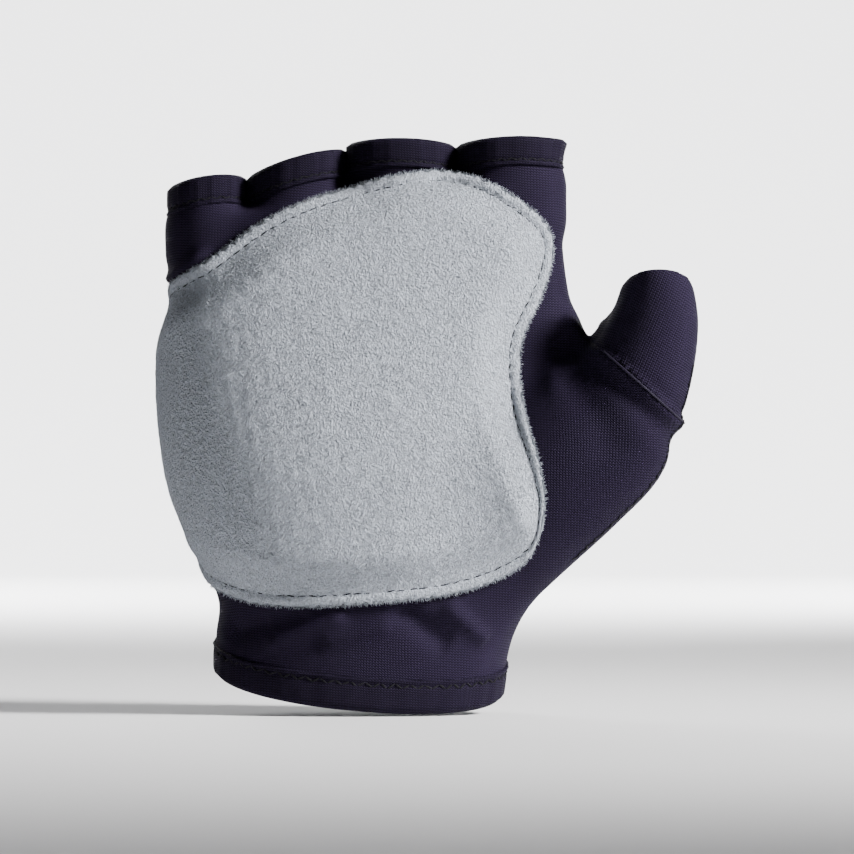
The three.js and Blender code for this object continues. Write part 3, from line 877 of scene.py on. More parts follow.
def beyond_rims(points):
    """How far a point lies past the lip of a hem or past the thumb's rim, below 0 on the cloth."""
    x, y, z = points.T
    past = CUFF_HEM - LIP - hand_up(x, y, z) * HAND_LENGTH
    for i, f in enumerate(PLACED):
        left = f.half + (FINGER_SPACE / 2 if i < len(PLACED) - 1 else BEYOND)
        right = f.half + (FINGER_SPACE / 2 if i else BEYOND)
        own = (x - f.x > -left) & (x - f.x < right) & (z > f.rim - FINGER_ROOT)
        past = np.where(own, np.maximum(past, FINGER_HEM - LIP - f.below(x, y, z)), past)
    _, along = thumb_field(x, y, z)
    own = (x > RIM_FROM[0]) & (along > RIM_FROM[1])
    return np.where(own, np.maximum(past, (along - 1) * THUMB_END_SPAN), past)


def beyond_seam(points):
    """How far a point lies past the stall's seam towards the thumb's rim."""
    away, along = thumb_field(*points.T)
    own = (away < THUMB_NEAR) & (points[:, 0] > SEAM_FROM[0]) & (along > SEAM_FROM[1])
    return np.where(own, (along - THUMB_SEAM) * THUMB_SEAM_SPAN, FAR_BEFORE)


def relief(points, seam):
    """Height of the cloth's folds and of the rolled ridge along the stall's seam."""
    clear = np.hypot(points[:, 0] - WEB[0], points[:, 2] - WEB[2])
    return fold_height(points) + waves(seam, SEAM_WAVES) * ramp(clear, *SEAM_CLEAR)


def on_line(points, which, measure):
    """Moves some points along the surface on to the line where a measure is 0."""
    some = points[which]
    for _ in range(2):
        way, steep = slope_of(some, measure)
        step = np.clip(measure(some) / np.maximum(steep, 0.5), -NET_STEP, NET_STEP)
        some = some - way * step[:, None]
    points[which] = some


def frame_attributes(made, points, normals, turn=0.0):
    """Stores what the knit follows: its own upright frame, and how far a face turns sideways or up."""
    count = len(made.data.vertices)
    c, s = math.cos(turn), math.sin(turn)
    x, y, z = np.array(points).T * MM
    place = np.stack([x * c - z * s, y, x * s + z * c], 1)
    weave = made.data.attributes.new("weave", "FLOAT_VECTOR", "POINT")
    weave.data.foreach_set("vector", np.resize(place, (count, 3)).ravel())
    across, up = normals[:, 0], normals[:, 2]
    for name, values in (("flank", across * c - up * s), ("level", across * s + up * c)):
        layer = made.data.attributes.new(name, "FLOAT", "POINT")
        layer.data.foreach_set("value", np.resize(np.abs(values), count))


def build_cloth():
    """The hand shell and the thumb stall, parted at the stall's seam."""
    points, quads = cloth_net()
    past = beyond_rims(points)
    quads = quads[(past[quads] < 0).any(1)]
    used = np.unique(quads)
    on_line(points, used[past[used] > 0], beyond_rims)
    seam = beyond_seam(points)
    stall = seam[quads].mean(1) > 0
    shared = np.intersect1d(quads[stall], quads[~stall])
    on_line(points, shared, beyond_seam)
    seam[shared] = 0
    normals, _ = slope_of(points)
    rolled = np.where(points[:, 0] > RIM_ROLL_X, np.clip(beyond_rims(points) / RIM_ROLL + 1, 0, 1), 0)
    rise = relief(points, seam) - RIM_DROP * rolled**2
    points = points + normals * rise[:, None]
    for name, part, node, turn in (
        ("hand_cloth", ~stall, "hand_shell", 0.0),
        ("thumb_cloth", stall, "thumb_stall", THUMB_TURN),
    ):
        used, flat = np.unique(quads[part], return_inverse=True)
        p, n = points[used], normals[used]
        made = new_object(name, *walled(p, n, flat.reshape(-1, 4), CLOTH), look("knit"))
        frame_attributes(made, p, n, turn)
        piece(made, [node])


# Hems


def hand_ring(up, angle, grow):
    """Points of the hand's section at a share of its height, grown outwards."""
    across, deep = squared(angle, 2 / HAND("square", up))
    little, thumb = HAND("little", up), HAND("thumb", up)
    half = (little + thumb) / 2
    depth = np.where(deep > 0, HAND("back", up), HAND("palm", up))
    x, y = (thumb - little) / 2 + half * across, depth * deep
    way = unit(np.stack([np.cos(angle) / half, np.sin(angle) / depth], -1))
    z = up * HAND_LENGTH + HAND("tilt", up) * x + HAND("lean", up) * y
    return np.stack([x + way[..., 0] * grow, y + way[..., 1] * grow, z], -1)


def cuff_ring(from_rim, angle, grow):
    return hand_ring(from_rim / HAND_LENGTH, angle, grow)


def hem_profile(width):
    """A hem's cross-section, all round it: how far from the rim and how far out."""
    t = np.linspace(0, 1, HEM_ROWS) ** 0.8
    edge = t * width
    lip = hump(edge, 0, LIP_ROUND)
    outer = HEM_OUTSIDE + 0.05 * np.sin(math.pi * t) - 0.95 * lip + waves(width - edge, HEM_WAVES)
    outer[-1] = HEM_EDGE
    inner = HEM_INSIDE + 0.9 * lip
    tuck = width - LIP - 0.1
    groove = [(width, 0.08), (tuck, 0.06), (tuck, -CLOTH - 0.08), (width, -CLOTH - 0.1)]
    return np.array([*zip(edge, outer), *groove, *zip(edge[::-1], inner[::-1])]).T


def hem_band(name, ring, width, around, sides=(), flare=0.0):
    """A turned hem: a closed soft band along a ring, filled out on the sides that press on another."""
    from_rim, out = hem_profile(width)
    angle = np.linspace(0, 2 * math.pi, around, endpoint=False)
    rng = np.random.default_rng(sum(map(ord, name)))
    wave = sum(rng.uniform(0.02, 0.06) * np.sin(k * angle + rng.uniform(0, 6)) for k in (5, 9, 14, 23, 37))
    fill = sum(ramp(side * np.cos(angle), *BESIDE_FROM) for side in sides)
    turned = flare * ramp(np.cos(angle), *FLARE_FROM)
    rows = []
    for i, (r, o) in enumerate(zip(from_rim, out)):
        soft = (wave * (1 - fill) * (o > 0.1) + (BESIDE - o) * fill) * (0 < i < HEM_ROWS)
        rows.append(ring(r, angle, o + (soft + turned * hump(r, 0, FLARE_LENGTH))))
    points = np.concatenate(rows)
    i, a = np.meshgrid(np.arange(len(rows)), np.arange(around), indexing="ij")
    j, b = (i + 1) % len(rows), (a + 1) % around
    faces = np.stack([i * around + a, i * around + b, j * around + b, j * around + a], -1).reshape(-1, 4)
    if points[around * 8, 2] < points[0, 2]:
        faces = faces[:, ::-1]
    made = new_object(name, points, faces, look("hem"))
    out_way = np.stack([np.cos(angle), np.sin(angle), 0 * angle], 1)
    frame_attributes(made, points, np.tile(out_way, (len(rows), 1)))
    return made


def build_hems():
    """The bands round the cuff and the four fingers."""
    piece(hem_band("cuff_band", cuff_ring, CUFF_HEM, CUFF_STEPS), ["cuff_hem"])
    for number, f in enumerate(PLACED):
        sides = [side for side, beside in ((1, number - 1), (-1, number + 1)) if 0 <= beside < len(PLACED)]
        flare = 0.0 if number else INDEX_FLARE
        made = hem_band(f"{f.name}_band", f.ring, FINGER_HEM, FINGER_STEPS, sides, flare)
        piece(made, [f"hem_{f.name}"])


# Patch


class Section:
    """The hand's level sections, read by height and by the distance round from the palm's middle."""

    # Its lowest and highest level, first and last distance round and the step of both, then the points
    # of a section and how many of them, from the thumb's side on, hold the palm's middle.
    low, high, first, last, step = 8.0, 123.0, -86.0, 56.0, 0.5
    turns, palm = 500, 300

    def __init__(self):
        heights = np.arange(self.low, self.high, self.step)
        self.round = np.arange(self.first, self.last, self.step)
        angle = np.linspace(1.995 * math.pi, 0.5 * math.pi, self.turns)
        high, turn = np.meshgrid(heights, angle, indexing="ij")
        up = high / HAND_LENGTH
        for _ in range(5):
            up = up + (high - hand_ring(up, turn, 0.0)[..., 2]) / HAND_LENGTH
        x, y, _ = np.moveaxis(hand_ring(up, turn, 0.0), -1, 0)
        grown = hand_ring(up, turn, 1.0)
        rows = []
        for i in range(len(heights)):
            length = lengths(np.stack([x[i], y[i]], 1))
            place = np.interp(0.0, -x[i][:self.palm], length[:self.palm]) - length
            columns = [x[i], y[i], grown[i, :, 0] - x[i], grown[i, :, 1] - y[i]]
            rows.append([np.interp(self.round, place[::-1], c[::-1]) for c in columns])
        self.table = np.moveaxis(np.array(rows), 1, -1)

    def __call__(self, around, high):
        """x, y and the level way out of the hand, at a place."""
        i = np.clip((high - self.low) / self.step, 0, len(self.table) - 1.001)
        j = np.clip((around - self.first) / self.step, 0, len(self.round) - 1.001)
        return between(self.table, i, j).T

    def round_at(self, high, column, value):
        """The distance round where x (column 0) or the back's y (column 1) has a value."""
        row = self.table[int((high - self.low) / self.step)]
        most = int(np.argmin(row[:, 0]))
        if column == 0:
            return float(np.interp(value, row[most:, 0], self.round[most:]))
        side = slice(0, max(most + 12, 2))
        return float(np.interp(-value, -row[side, 1], self.round[side]))


def between(table, i, j):
    """Values of a table at places between its rows and columns."""
    a, b = i.astype(int), j.astype(int)
    shape = (-1,) + (1,) * (table.ndim - 2)
    t, u = (i - a).reshape(shape), (j - b).reshape(shape)
    near = table[a, b] * (1 - u) + table[a, b + 1] * u
    far = table[a + 1, b] * (1 - u) + table[a + 1, b + 1] * u
    return near * (1 - t) + far * t


def lengths(line):
    """How far along a line each of its points lies."""
    return np.concatenate([[0], np.cumsum(np.linalg.norm(np.diff(line, axis=0), axis=1))])


def closed_curve(points, count):
    """A smooth closed line through points, evenly stepped."""
    a, b, c, d = (np.roll(np.array(points), 1 - k, 0)[:, None] for k in range(4))
    t = np.linspace(0, 1, 24, endpoint=False)[:, None]
    line = 0.5 * (2 * b + (c - a) * t + (2 * a - 5 * b + 4 * c - d) * t**2 + (3 * b - a - 3 * c + d) * t**3)
    line = line.reshape(-1, 2)
    line = np.concatenate([line, line[:1]])
    length = lengths(line)
    even = np.linspace(0, length[-1], count, endpoint=False)
    return np.stack([np.interp(even, length, line[:, i]) for i in range(2)], 1)


class Patch:
    """The patch laid flat: its outline round the hand, and heights and places on the glove."""

    def __init__(self):
        self.section = Section()
        marks = [(z, 0, x * PALM_WIDTH) for x, z in PATCH_PALM]
        marks += [(z, 1, y * PALM_DEPTH) for z, y in PATCH_BACK]
        self.outline = closed_curve([(self.section.round_at(z * HAND_LENGTH, column, value), z * HAND_LENGTH)
                                     for z, column, value in marks], 700)
        self.middle = self.outline.mean(0)
        along = unit(np.roll(self.outline, -1, 0) - np.roll(self.outline, 1, 0))
        self.inward = np.stack([along[:, 1], -along[:, 0]], 1)
        if ((self.middle - self.outline) * self.inward).sum() < 0:
            self.inward = -self.inward
        self.lift = None

    def inset(self, flat):
        """How far places lie inside the outline, and the nearest point on it."""
        a, b = self.outline, np.roll(self.outline, -1, 0)
        way = b - a
        slant = way[:, 0] / np.where(way[:, 1] == 0, 1e-9, way[:, 1])
        depths, feet = [], []
        for start in range(0, len(flat), 4000):
            p = flat[start:start + 4000, None]
            t = np.clip(((p - a) * way).sum(2) / (way**2).sum(1), 0, 1)
            foot = a + t[..., None] * way
            away = np.linalg.norm(p - foot, axis=2)
            best = np.arange(len(p)), away.argmin(1)
            x, y = p[..., 0], p[..., 1]
            crossed = ((a[:, 1] > y) != (b[:, 1] > y)) & (x < a[:, 0] + (y - a[:, 1]) * slant)
            depths.append(np.where(crossed.sum(1) % 2 == 1, away[best], -away[best]))
            feet.append(foot[best])
        return np.concatenate(depths), np.concatenate(feet)

    def place(self, flat, height):
        """Points on the glove a height above its cloth, over flat places."""
        around, high = flat.T
        x, y, out_x, out_y = self.section(around, high)
        level = ramp(around, *WRAP)
        way = unit(np.stack([out_x * (1 - level), out_y * (1 - level) - level, 0 * level], 1))
        start = np.stack([x, y, high], 1)
        near = np.full(len(flat), MARCH_FROM)
        found = np.zeros(len(flat), bool)
        for out in np.arange(MARCH_FROM, MARCH_TO, -MARCH_STEP):
            hit = ~found & (leather_bed(start + way * out) < height)
            near = np.where(hit, out, near)
            found |= hit
        far = near + MARCH_STEP
        for _ in range(MARCH_HALVINGS):
            half = (near + far) / 2
            under = leather_bed(start + way * half[:, None]) < height
            near, far = np.where(under, half, near), np.where(under, far, half)
        return start + way * ((near + far) / 2)[:, None]

    def crown(self, inside):
        """Height of the leather's face over the cloth for a distance inside the edge."""
        height = PATCH_GAP + LEATHER + PAD_THICKNESS * ramp(inside, CROWN_FROM, CROWN_RAMP) ** 0.8
        return height + waves(inside, PATCH_WAVES)

    def line(self, inside):
        """Flat places on a line a distance inside the edge."""
        flat = self.outline + self.inward * inside
        for _ in range(3):
            flat = (np.roll(flat, 1, 0) + 2 * flat + np.roll(flat, -1, 0)) / 4
        return flat

    def grid(self, step, inside):
        """A grid of flat places inside the edge, with its outer points on the edge."""
        low, high = self.outline.min(0) - step, self.outline.max(0) + step
        axes = [np.arange(low[i], high[i], step) for i in range(2)]
        flat = np.stack(np.meshgrid(*axes, indexing="ij"), -1)
        n = np.arange(flat[..., 0].size).reshape(flat.shape[:2])
        quads = np.stack([n[:-1, :-1], n[1:, :-1], n[1:, 1:], n[:-1, 1:]], -1).reshape(-1, 4)
        flat = flat.reshape(-1, 2)
        depth, foot = self.inset(flat)
        used, back = np.unique(quads[depth[quads].mean(1) > inside], return_inverse=True)
        flat, depth, foot, quads = flat[used], depth[used], foot[used], back.reshape(-1, 4)
        rim = np.bincount(quads.ravel()) < 4
        if inside == 0:
            flat[rim] = foot[rim]
            depth[rim] = 0
        return flat, depth, quads, rim


def puffed(patch):
    """How much the cover swells over its pad, from a short simulation of its cloth held at the seam."""
    flat, depth, quads, rim = patch.grid(SIM_STEP, STITCH_INSET)
    start = patch.place(flat, patch.crown(depth))
    cover = new_object("cover_trial", start, quads, look("suede"))
    pin = cover.vertex_groups.new(name="seam")
    held = np.where(rim, 1.0, np.clip(SIM_HOLD - (depth - STITCH_INSET) / SIM_EASE, 0, 1))
    for i, hold in enumerate(held):
        pin.add([i], float(hold), "REPLACE")
    settings = cover.modifiers.new("cloth", "CLOTH").settings
    for name, value in CLOTH_SETTINGS.items():
        setattr(settings, name, value)
    settings.effector_weights.gravity = 0.0
    for number in range(1, SIM_FRAMES + 1):
        bpy.context.scene.frame_set(number)
    swollen = cover.evaluated_get(bpy.context.evaluated_depsgraph_get())
    after = np.empty(len(start) * 3)
    swollen.data.vertices.foreach_get("co", after)
    way, _ = slope_of(start)
    lift = ((after.reshape(-1, 3) / MM - start) * way).sum(1)
    bpy.context.scene.frame_set(1)
    bpy.data.objects.remove(cover, do_unlink=True)
    return flat, np.clip(lift, -SIM_CAP / 3, SIM_CAP)


def sim_lift(patch, flat):
    """The simulated swelling read at other flat places."""
    if patch.lift is None:
        return 0.0
    known, lift = patch.lift
    low = known.min(0)
    cells = np.round((known - low) / SIM_STEP).astype(int)
    table = np.zeros(cells.max(0) + 3)
    table[cells[:, 0], cells[:, 1]] = lift
    return between(table, *np.clip((flat - low) / SIM_STEP, 0, np.array(table.shape) - 2.001).T)


def wander(places, high, long, seed):
    """Smooth random heights at flat places, made of seven waves of about one length."""
    rng = np.random.default_rng(seed)
    total = 0
    for _ in range(7):
        turn, phase = rng.uniform(0, 2 * math.pi), rng.uniform(0, 2 * math.pi)
        across = places[:, 0] * math.cos(turn) + places[:, 1] * math.sin(turn)
        total = total + np.sin(across * 2 * math.pi / (long * rng.uniform(0.7, 1.5)) + phase)
    return high * total / 3.5


PATCHES = []


def patch_shape():
    """The patch, made once."""
    if not PATCHES:
        PATCHES.append(Patch())
        PATCHES[0].lift = puffed(PATCHES[0])
    return PATCHES[0]


def facing_palm(points, quads):
    """Quads turned to face out of the palm, and directions out of their sheet at its points."""
    a, b, c, d = (points[quads[:, i]] for i in range(4))
    face = np.cross(c - a, d - b)
    normals = np.zeros_like(points)
    for i in range(4):
        np.add.at(normals, quads[:, i], face)
    if unit(normals)[:, 1].sum() > 0:
        return quads[:, ::-1], -unit(normals)
    return quads, unit(normals)


def build_patch():
    """The suede cover, with a flat sewn margin, a crown over the pad and a ragged cut edge."""
    patch = patch_shape()
    flat, depth, quads, rim = patch.grid(PATCH_STEP, 0)
    ragged = wander(flat[rim], *RAGGED[0]) + wander(flat[rim], *RAGGED[1])
    flat[rim] += unit(flat[rim] - patch.middle) * ragged[:, None]
    height = patch.crown(depth) + sim_lift(patch, flat)
    height += wander(flat, *SLACK) * ramp(depth, *SLACK_FROM) + wander(flat, *CREASED)
    height -= EDGE_DROP * np.exp(-depth / EDGE_ROUND)
    face = patch.place(flat, height)
    quads, normals = facing_palm(face, quads)
    made = new_object("suede_cover", *walled(face, normals, quads, LEATHER), look("suede"))
    piece(made, ["suede_patch"])
    sheet = new_object("nap_sheet", face, quads, look("suede"))
    along_path("suede_nap", sheet, "nap", NAP, "suede")


def build_pad():
    """The pad under the cover, as a closed block with a thin edge."""
    patch = patch_shape()
    flat, depth, quads, _ = patch.grid(PAD_STEP, PAD_FROM)
    top = np.maximum(patch.crown(depth) - LEATHER - PAD_ROOM, PAD_LEAST)
    over, under = patch.place(flat, top), patch.place(flat, PAD_FLOOR)
    quads, _ = facing_palm(over, quads)
    made = new_object("pad_core", *walled(over, over - under, quads, 1.0), look("foam"))
    piece(made, ["impact_pad"])


# Threads


def path_object(name, points, outs, closed=True):
    """A line with the direction out of the cloth stored at its points."""
    mesh = bpy.data.meshes.new(name)
    count = len(points)
    edges = [(i, (i + 1) % count) for i in range(count if closed else count - 1)]
    mesh.from_pydata((points * MM).tolist(), edges, [])
    mesh.attributes.new("out", "FLOAT_VECTOR", "POINT").data.foreach_set("vector", outs.ravel())
    return in_scene(name, mesh)


class Graph(Tree):
    """A geometry tree with named inputs, which ends in one finished mesh."""

    def __init__(self, name, *inputs):
        super().__init__(bpy.data.node_groups.new(name, "GeometryNodeTree"))
        kinds = {"Geometry": "Geometry", "Seed": "Int", "Material": "Material"}
        new_socket = self.tree.interface.new_socket
        new_socket("Geometry", in_out="OUTPUT", socket_type="NodeSocketGeometry")
        for label in ("Geometry", *inputs, "Material"):
            new_socket(label, in_out="INPUT", socket_type="NodeSocket" + kinds.get(label, "Float"))
        self.enter = self.tree.nodes.new("NodeGroupInput")

    def source(self, name):
        """An input of the tree."""
        return Value(self, self.enter.outputs[name])

    def vector(self, x=0.0, y=0.0, z=0.0):
        return self.node("ShaderNodeCombineXYZ", None, {0: x, 1: y, 2: z})

    def random(self, low, high, shift=0.0, vector=False):
        """A random number or vector for each point, whose seed is shifted from the tree's own."""
        first = 0 if vector else 2
        return self.node("FunctionNodeRandomValue", {"data_type": "FLOAT_VECTOR" if vector else "FLOAT"},
                         {first: low, first + 1: high, 8: self.source("Seed") + shift}, 0 if vector else 1)

    def turned(self, rotation, angle):
        """A rotation turned further, in its own frame."""
        by = self.node("FunctionNodeEulerToRotation", None, {"Euler": angle})
        return self.node("FunctionNodeRotateRotation", {"rotation_space": "LOCAL"},
                         {"Rotation": rotation, "Rotate By": by})

    def curve(self):
        return self.node("GeometryNodeMeshToCurve", None, {"Mesh": self.source("Geometry")})

    def along_line(self):
        """Evenly stepped points on the line, with rotations that face out and along it."""
        points = self.node("GeometryNodeCurveToPoints", {"mode": "LENGTH"},
                           {"Curve": self.curve(), "Length": self.source("Pitch")})
        out = self.node("GeometryNodeInputNamedAttribute", {"data_type": "FLOAT_VECTOR"}, {"Name": "out"})
        return points, self.node("FunctionNodeAxesToRotation", {"primary_axis": "Z", "secondary_axis": "X"},
                                 {"Primary Axis": out, "Secondary Axis": points.other("Tangent")})

    def finish(self, geometry):
        """Realizes the copies, gives them their finish and ends the tree."""
        real = self.node("GeometryNodeRealizeInstances", None, {"Geometry": geometry})
        smooth = self.node("GeometryNodeSetShadeSmooth", None, {"Geometry": real})
        done = self.node("GeometryNodeSetMaterial", None,
                         {"Geometry": smooth, "Material": self.source("Material")})
        self.fill(self.tree.nodes.new("NodeGroupOutput").inputs[0], done)
        return self.tree

    def copies(self, points, shape, rotation, size):
        """Lays copies of a shape on the points and ends the tree."""
        return self.finish(self.node("GeometryNodeInstanceOnPoints", None, {
            "Points": points, "Instance": shape, "Rotation": rotation, "Scale": size}))


def stitch_group():
    """Copies one stitch along a line, slanting one way and then the other."""
    g = Graph("stitches", "Pitch", "Length", "Thickness", "Slant", "Unevenness", "Seed")
    points, rotation = g.along_line()
    alternate = (g.node("GeometryNodeInputIndex") * 0.5).part() * 4.0 - 1.0
    jitter = g.random(0.0 - g.source("Unevenness"), g.source("Unevenness"))
    rotation = g.turned(rotation, g.vector(z=alternate * g.source("Slant") + jitter))
    ball = g.node("GeometryNodeMeshUVSphere", None, {"Segments": 6, "Rings": 8, "Radius": 0.5})
    bead = g.node("GeometryNodeTransform", None, {"Geometry": ball, "Rotation": (0, math.pi / 2, 0)})
    thick = g.source("Thickness")
    return g.copies(points, bead, rotation, g.vector(g.source("Length") * (1.0 + jitter), thick, thick))


def cord_group():
    """Sweeps a thread along a line."""
    g = Graph("thread", "Thickness")
    ring = g.node("GeometryNodeCurvePrimitiveCircle", None,
                  {"Resolution": 7, "Radius": g.source("Thickness") * 0.5})
    return g.finish(g.node("GeometryNodeCurveToMesh", None,
                           {"Curve": g.curve(), "Profile Curve": ring, "Fill Caps": True}))


def fibre_group():
    """Scatters fine tapered fibres along a line, leaning out from the edge."""
    g = Graph("fibres", "Pitch", "Length", "Thickness", "Spread", "Seed")
    points, rotation = g.along_line()
    spread, thick = g.source("Spread"), g.source("Thickness")
    less = 0.0 - spread
    lean = g.random(g.vector(less, less, -3.0), g.vector(spread, spread, 3.0), vector=True)
    cone = g.node("GeometryNodeMeshCone", {"fill_type": "TRIANGLE_FAN"},
                  {"Vertices": 3, "Radius Top": 0.12, "Radius Bottom": 0.5, "Depth": 1.0})
    size = g.vector(thick, thick, g.source("Length") * g.random(0.35, 1.0, 1.0))
    return g.copies(points, cone, g.turned(rotation, lean), size)


def nap_group():
    """Lays short tapered tufts over a sheet of leather, each leaning its own way."""
    g = Graph("nap", "Density", "Length", "Thickness", "Lean", "Seed")
    points = g.node("GeometryNodeDistributePointsOnFaces", None, {
        "Mesh": g.source("Geometry"), "Density": g.source("Density"), "Seed": g.source("Seed")})
    turn = g.random((0.0, 0.0, -1.7), (0.0, 0.0, 0.1), 1.0, vector=True)
    lean = g.vector(g.source("Lean") + g.random(-0.22, 0.22, 2.0))
    rotation = g.turned(g.turned(points.other("Rotation"), turn), lean)
    grow = g.random(0.55, 1.25, 3.0)
    thick = g.source("Thickness")
    cone = g.node("GeometryNodeMeshCone", {"fill_type": "NGON"},
                  {"Vertices": 3, "Radius Top": 0.0, "Radius Bottom": 0.5, "Depth": 1.0})
    low = g.node("GeometryNodeTransform", None, {"Geometry": cone, "Translation": (0.0, 0.0, -0.35)})
    return g.copies(points, low, rotation, g.vector(thick * grow, thick * 0.7, g.source("Length") * grow))


GROUPS = {}


def along_path(name, path, kind, values, finish):
    """Runs a geometry tree on a line or sheet and keeps the result as a plain mesh."""
    if not GROUPS:
        GROUPS.update(stitches=stitch_group(), thread=cord_group(), fibres=fibre_group(), nap=nap_group())
    group = GROUPS[kind]
    modifier = path.modifiers.new(kind, "NODES")
    modifier.node_group = group
    for item in group.interface.items_tree:
        if item.in_out == "INPUT" and item.name == "Material":
            modifier[item.identifier] = look(finish)
        elif item.in_out == "INPUT" and item.name in values:
            modifier[item.identifier] = values[item.name]
    ready = path.evaluated_get(bpy.context.evaluated_depsgraph_get())
    made = in_scene(name, bpy.data.meshes.new_from_object(ready))
    path.modifiers.clear()
    bpy.data.objects.remove(path, do_unlink=True)
    if not len(made.data.polygons):
        raise RuntimeError(f"{name} came out empty")
    return piece(made)


def stitch_row(name, points, outs, sizes, seed, closed=True):
    """A row of stitches along points on the cloth."""
    pitch, length, thick, slant, uneven = sizes
    values = {"Pitch": pitch * MM, "Length": length * MM, "Thickness": thick * MM, "Slant": slant,
              "Unevenness": uneven, "Seed": seed}
    along_path(name, path_object(name + "_path", points, outs, closed), "stitches", values, "thread")


def build_patch_threads():
    """The patch's line of lockstitch and the loose fibres of its cut edge."""
    patch = patch_shape()
    flat = patch.line(STITCH_INSET)
    points = patch.place(flat, patch.crown(STITCH_INSET) + wander(flat, *SEWN))
    stitch_row("patch_stitches", points, slope_of(points)[0], PATCH_STITCH, 3)
    for number, (less, low, spread) in enumerate(EDGE_FIBRES):
        flat = patch.line(less)
        at = patch.place(flat, low + PATCH_GAP)
        beyond = patch.place(flat - patch.inward * 1.5, low + PATCH_GAP + 0.1)
        path = path_object("edge_path", at, unit(beyond - at))
        along_path(f"edge_fibres_{number}", path, "fibres", {**FIBRE, "Spread": spread, "Seed": 5 + number},
                   "suede")


def build_hem_threads():
    """The rows of cover stitch round the hems."""
    angle = np.linspace(0, 2 * math.pi, 240, endpoint=False)
    rows = [("cuff_stitches", cuff_ring, CUFF_HEM, CUFF_PROUD, CUFF_STITCH, 7)]
    rows += [(f"{f.name}_stitches", f.ring, FINGER_HEM, FINGER_PROUD, FINGER_STITCH, 9) for f in PLACED]
    for name, ring, width, proud, sizes, seed in rows:
        points, beyond = (ring(width - STITCH_FROM_EDGE, angle, grow) for grow in (proud, 1.3))
        stitch_row(name, points, unit(beyond - points), sizes, seed)


def thumb_line(along, turn, height):
    """Points on the thumb at shares of its length and angles round it, and directions out of it."""
    along, turn = np.broadcast_arrays(along, turn)
    middle, half, side, mid_y, deep, lean = thumb_section(along)
    y, across = deep * np.sin(turn), half * np.cos(turn)
    points = settle(np.stack([middle[:, 0] + side[:, 0] * across, mid_y + y,
                              middle[:, 1] + side[:, 1] * across + lean * y], 1))
    outs, _ = slope_of(points)
    rise = relief(points, beyond_seam(points)) + height
    return points + outs * rise[:, None], outs


def build_thumb_threads():
    """The cord in the stall's seam ridge and the overlocked seam along the thumb's outer side."""
    turn = np.linspace(CORD_FROM - math.pi, math.pi - CORD_FROM, 120)
    path = path_object("seam_path", *thumb_line(THUMB_SEAM, turn, CORD_PROUD), closed=False)
    along_path("thumb_seam", path, "thread", SEAM_CORD, "cloth_thread")
    points, outs = thumb_line(np.linspace(*OVERLOCK_ALONG, 90), OVERLOCK_TURN, OVERLOCK_PROUD)
    stitch_row("side_overlock", points, outs, OVERLOCK, 11, closed=False)


# Stage


def build_floor():
    """A pale floor that bends up into a wall behind."""
    profile = [(-FLOOR_REACH, FLOOR), (FLOOR_BACK, FLOOR)]
    for i in range(1, FLOOR_STEPS + 1):
        a = i / FLOOR_STEPS * math.pi / 2
        profile.append((FLOOR_BACK + FLOOR_BEND * math.sin(a), FLOOR + FLOOR_BEND * (1 - math.cos(a))))
    profile.append((FLOOR_BACK + FLOOR_BEND, WALL_TOP))
    points = np.array([(x, y, z) for y, z in profile for x in (-FLOOR_REACH, FLOOR_REACH)])
    faces = [(2 * i, 2 * i + 1, 2 * i + 3, 2 * i + 2) for i in range(len(profile) - 1)]
    new_object("sweep", points / MM, faces, look("paper"))


def build_lights():
    """A low key from the thumb's side, a weak fill, a light behind and two on the wall."""
    for name, place, size, power, spread, colour, aim in LIGHTS:
        data = bpy.data.lights.new(name, "AREA")
        data.shape, data.size, data.energy, data.color = "DISK", size, power, colour
        data.spread = math.radians(spread)
        lamp = in_scene(name, data)
        lamp.location = place
        lamp.rotation_euler = (Vector(aim) - Vector(place)).to_track_quat("-Z", "Y").to_euler()
    world = bpy.data.worlds.new("studio")
    world.use_nodes = True
    background = world.node_tree.nodes["Background"]
    background.inputs[0].default_value = (0.95, 0.97, 1.0, 1.0)
    background.inputs[1].default_value = 0.04
    bpy.context.scene.world = world


def build_camera():
    """The camera at the photograph's angle: level, from far away."""
    data = bpy.data.cameras.new("camera")
    data.lens, data.sensor_width, data.clip_end = LENS, 36.0, 20.0
    camera = in_scene("camera", data)
    camera.location = CAMERA
    camera.rotation_euler = (math.pi / 2, 0.0, 0.0)
    bpy.context.scene.camera = camera


class GloveLooks(bpy.types.PropertyGroup):
    """Colours and sizes that a user would change."""

    knit: bpy.props.FloatVectorProperty(
        name="Knit", description="Colour of the stretch knit", subtype="COLOR", size=3,
        default=(0.0086, 0.0062, 0.0146), min=0, max=1)
    suede: bpy.props.FloatVectorProperty(
        name="Suede", description="Colour of the split leather", subtype="COLOR", size=3,
        default=(0.55, 0.595, 0.675), min=0, max=1)
    thread: bpy.props.FloatVectorProperty(
        name="Thread", description="Colour of the patch's sewing thread", subtype="COLOR", size=3,
        default=(0.0045, 0.004, 0.0065), min=0, max=1)
    sheen: bpy.props.FloatProperty(
        name="Sheen", description="Strength of the knit's soft sheen", default=0.01, min=0, max=1)


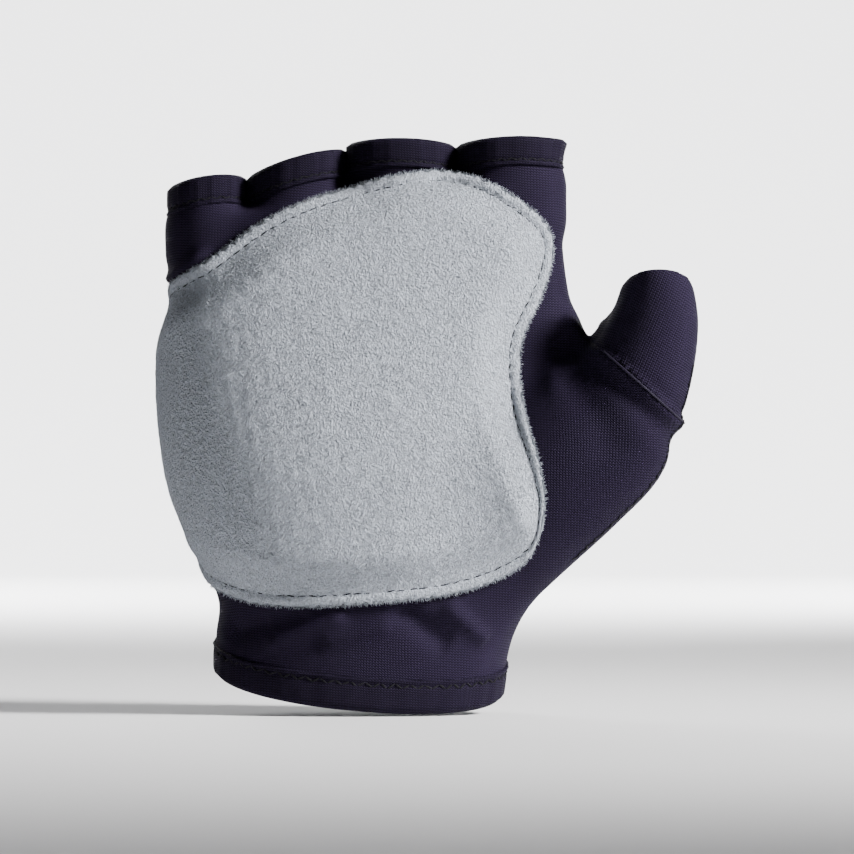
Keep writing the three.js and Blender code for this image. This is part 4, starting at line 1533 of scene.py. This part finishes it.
class GLOVE_OT_cloth(bpy.types.Operator):
    """Makes the hand shell and the thumb stall"""

    bl_idname = "glove.cloth"
    bl_label = "Cloth"

    def execute(self, context):
        build_cloth()
        return {"FINISHED"}


class GLOVE_OT_hems(bpy.types.Operator):
    """Makes the turned hems of the cuff and the fingers"""

    bl_idname = "glove.hems"
    bl_label = "Hems"

    def execute(self, context):
        build_hems()
        return {"FINISHED"}


class GLOVE_OT_patch(bpy.types.Operator):
    """Makes the suede cover and the pad under it"""

    bl_idname = "glove.patch"
    bl_label = "Patch and pad"

    def execute(self, context):
        build_patch()
        build_pad()
        return {"FINISHED"}


class GLOVE_OT_threads(bpy.types.Operator):
    """Makes the stitches, the seam ridges and the edge fibres"""

    bl_idname = "glove.threads"
    bl_label = "Threads"

    def execute(self, context):
        build_patch_threads()
        build_hem_threads()
        build_thumb_threads()
        return {"FINISHED"}


class GLOVE_OT_stage(bpy.types.Operator):
    """Makes the floor, the lights and the camera"""

    bl_idname = "glove.stage"
    bl_label = "Stage"

    def execute(self, context):
        build_floor()
        build_lights()
        build_camera()
        return {"FINISHED"}


OPERATORS = [GLOVE_OT_cloth, GLOVE_OT_hems, GLOVE_OT_patch, GLOVE_OT_threads, GLOVE_OT_stage]


class GLOVE_PT_panel(bpy.types.Panel):
    """Lists the steps that dress the glove"""

    bl_label = "Impact glove"
    bl_idname = "GLOVE_PT_panel"
    bl_space_type = "VIEW_3D"
    bl_region_type = "UI"
    bl_category = "Glove"

    def draw(self, context):
        for name in ("knit", "suede", "thread", "sheen"):
            self.layout.prop(context.scene.glove_looks, name)
        for operator in OPERATORS:
            self.layout.operator(operator.bl_idname)


CLASSES = [GloveLooks, *OPERATORS, GLOVE_PT_panel]


def register():
    for cls in CLASSES:
        bpy.utils.register_class(cls)
    bpy.types.Scene.glove_looks = bpy.props.PointerProperty(type=GloveLooks)


def unregister():
    del bpy.types.Scene.glove_looks
    for cls in reversed(CLASSES):
        bpy.utils.unregister_class(cls)


def main():
    register()
    for operator in OPERATORS:
        group, name = operator.bl_idname.split(".")
        getattr(getattr(bpy.ops, group), name)()


if __name__ == "__main__":
    main()
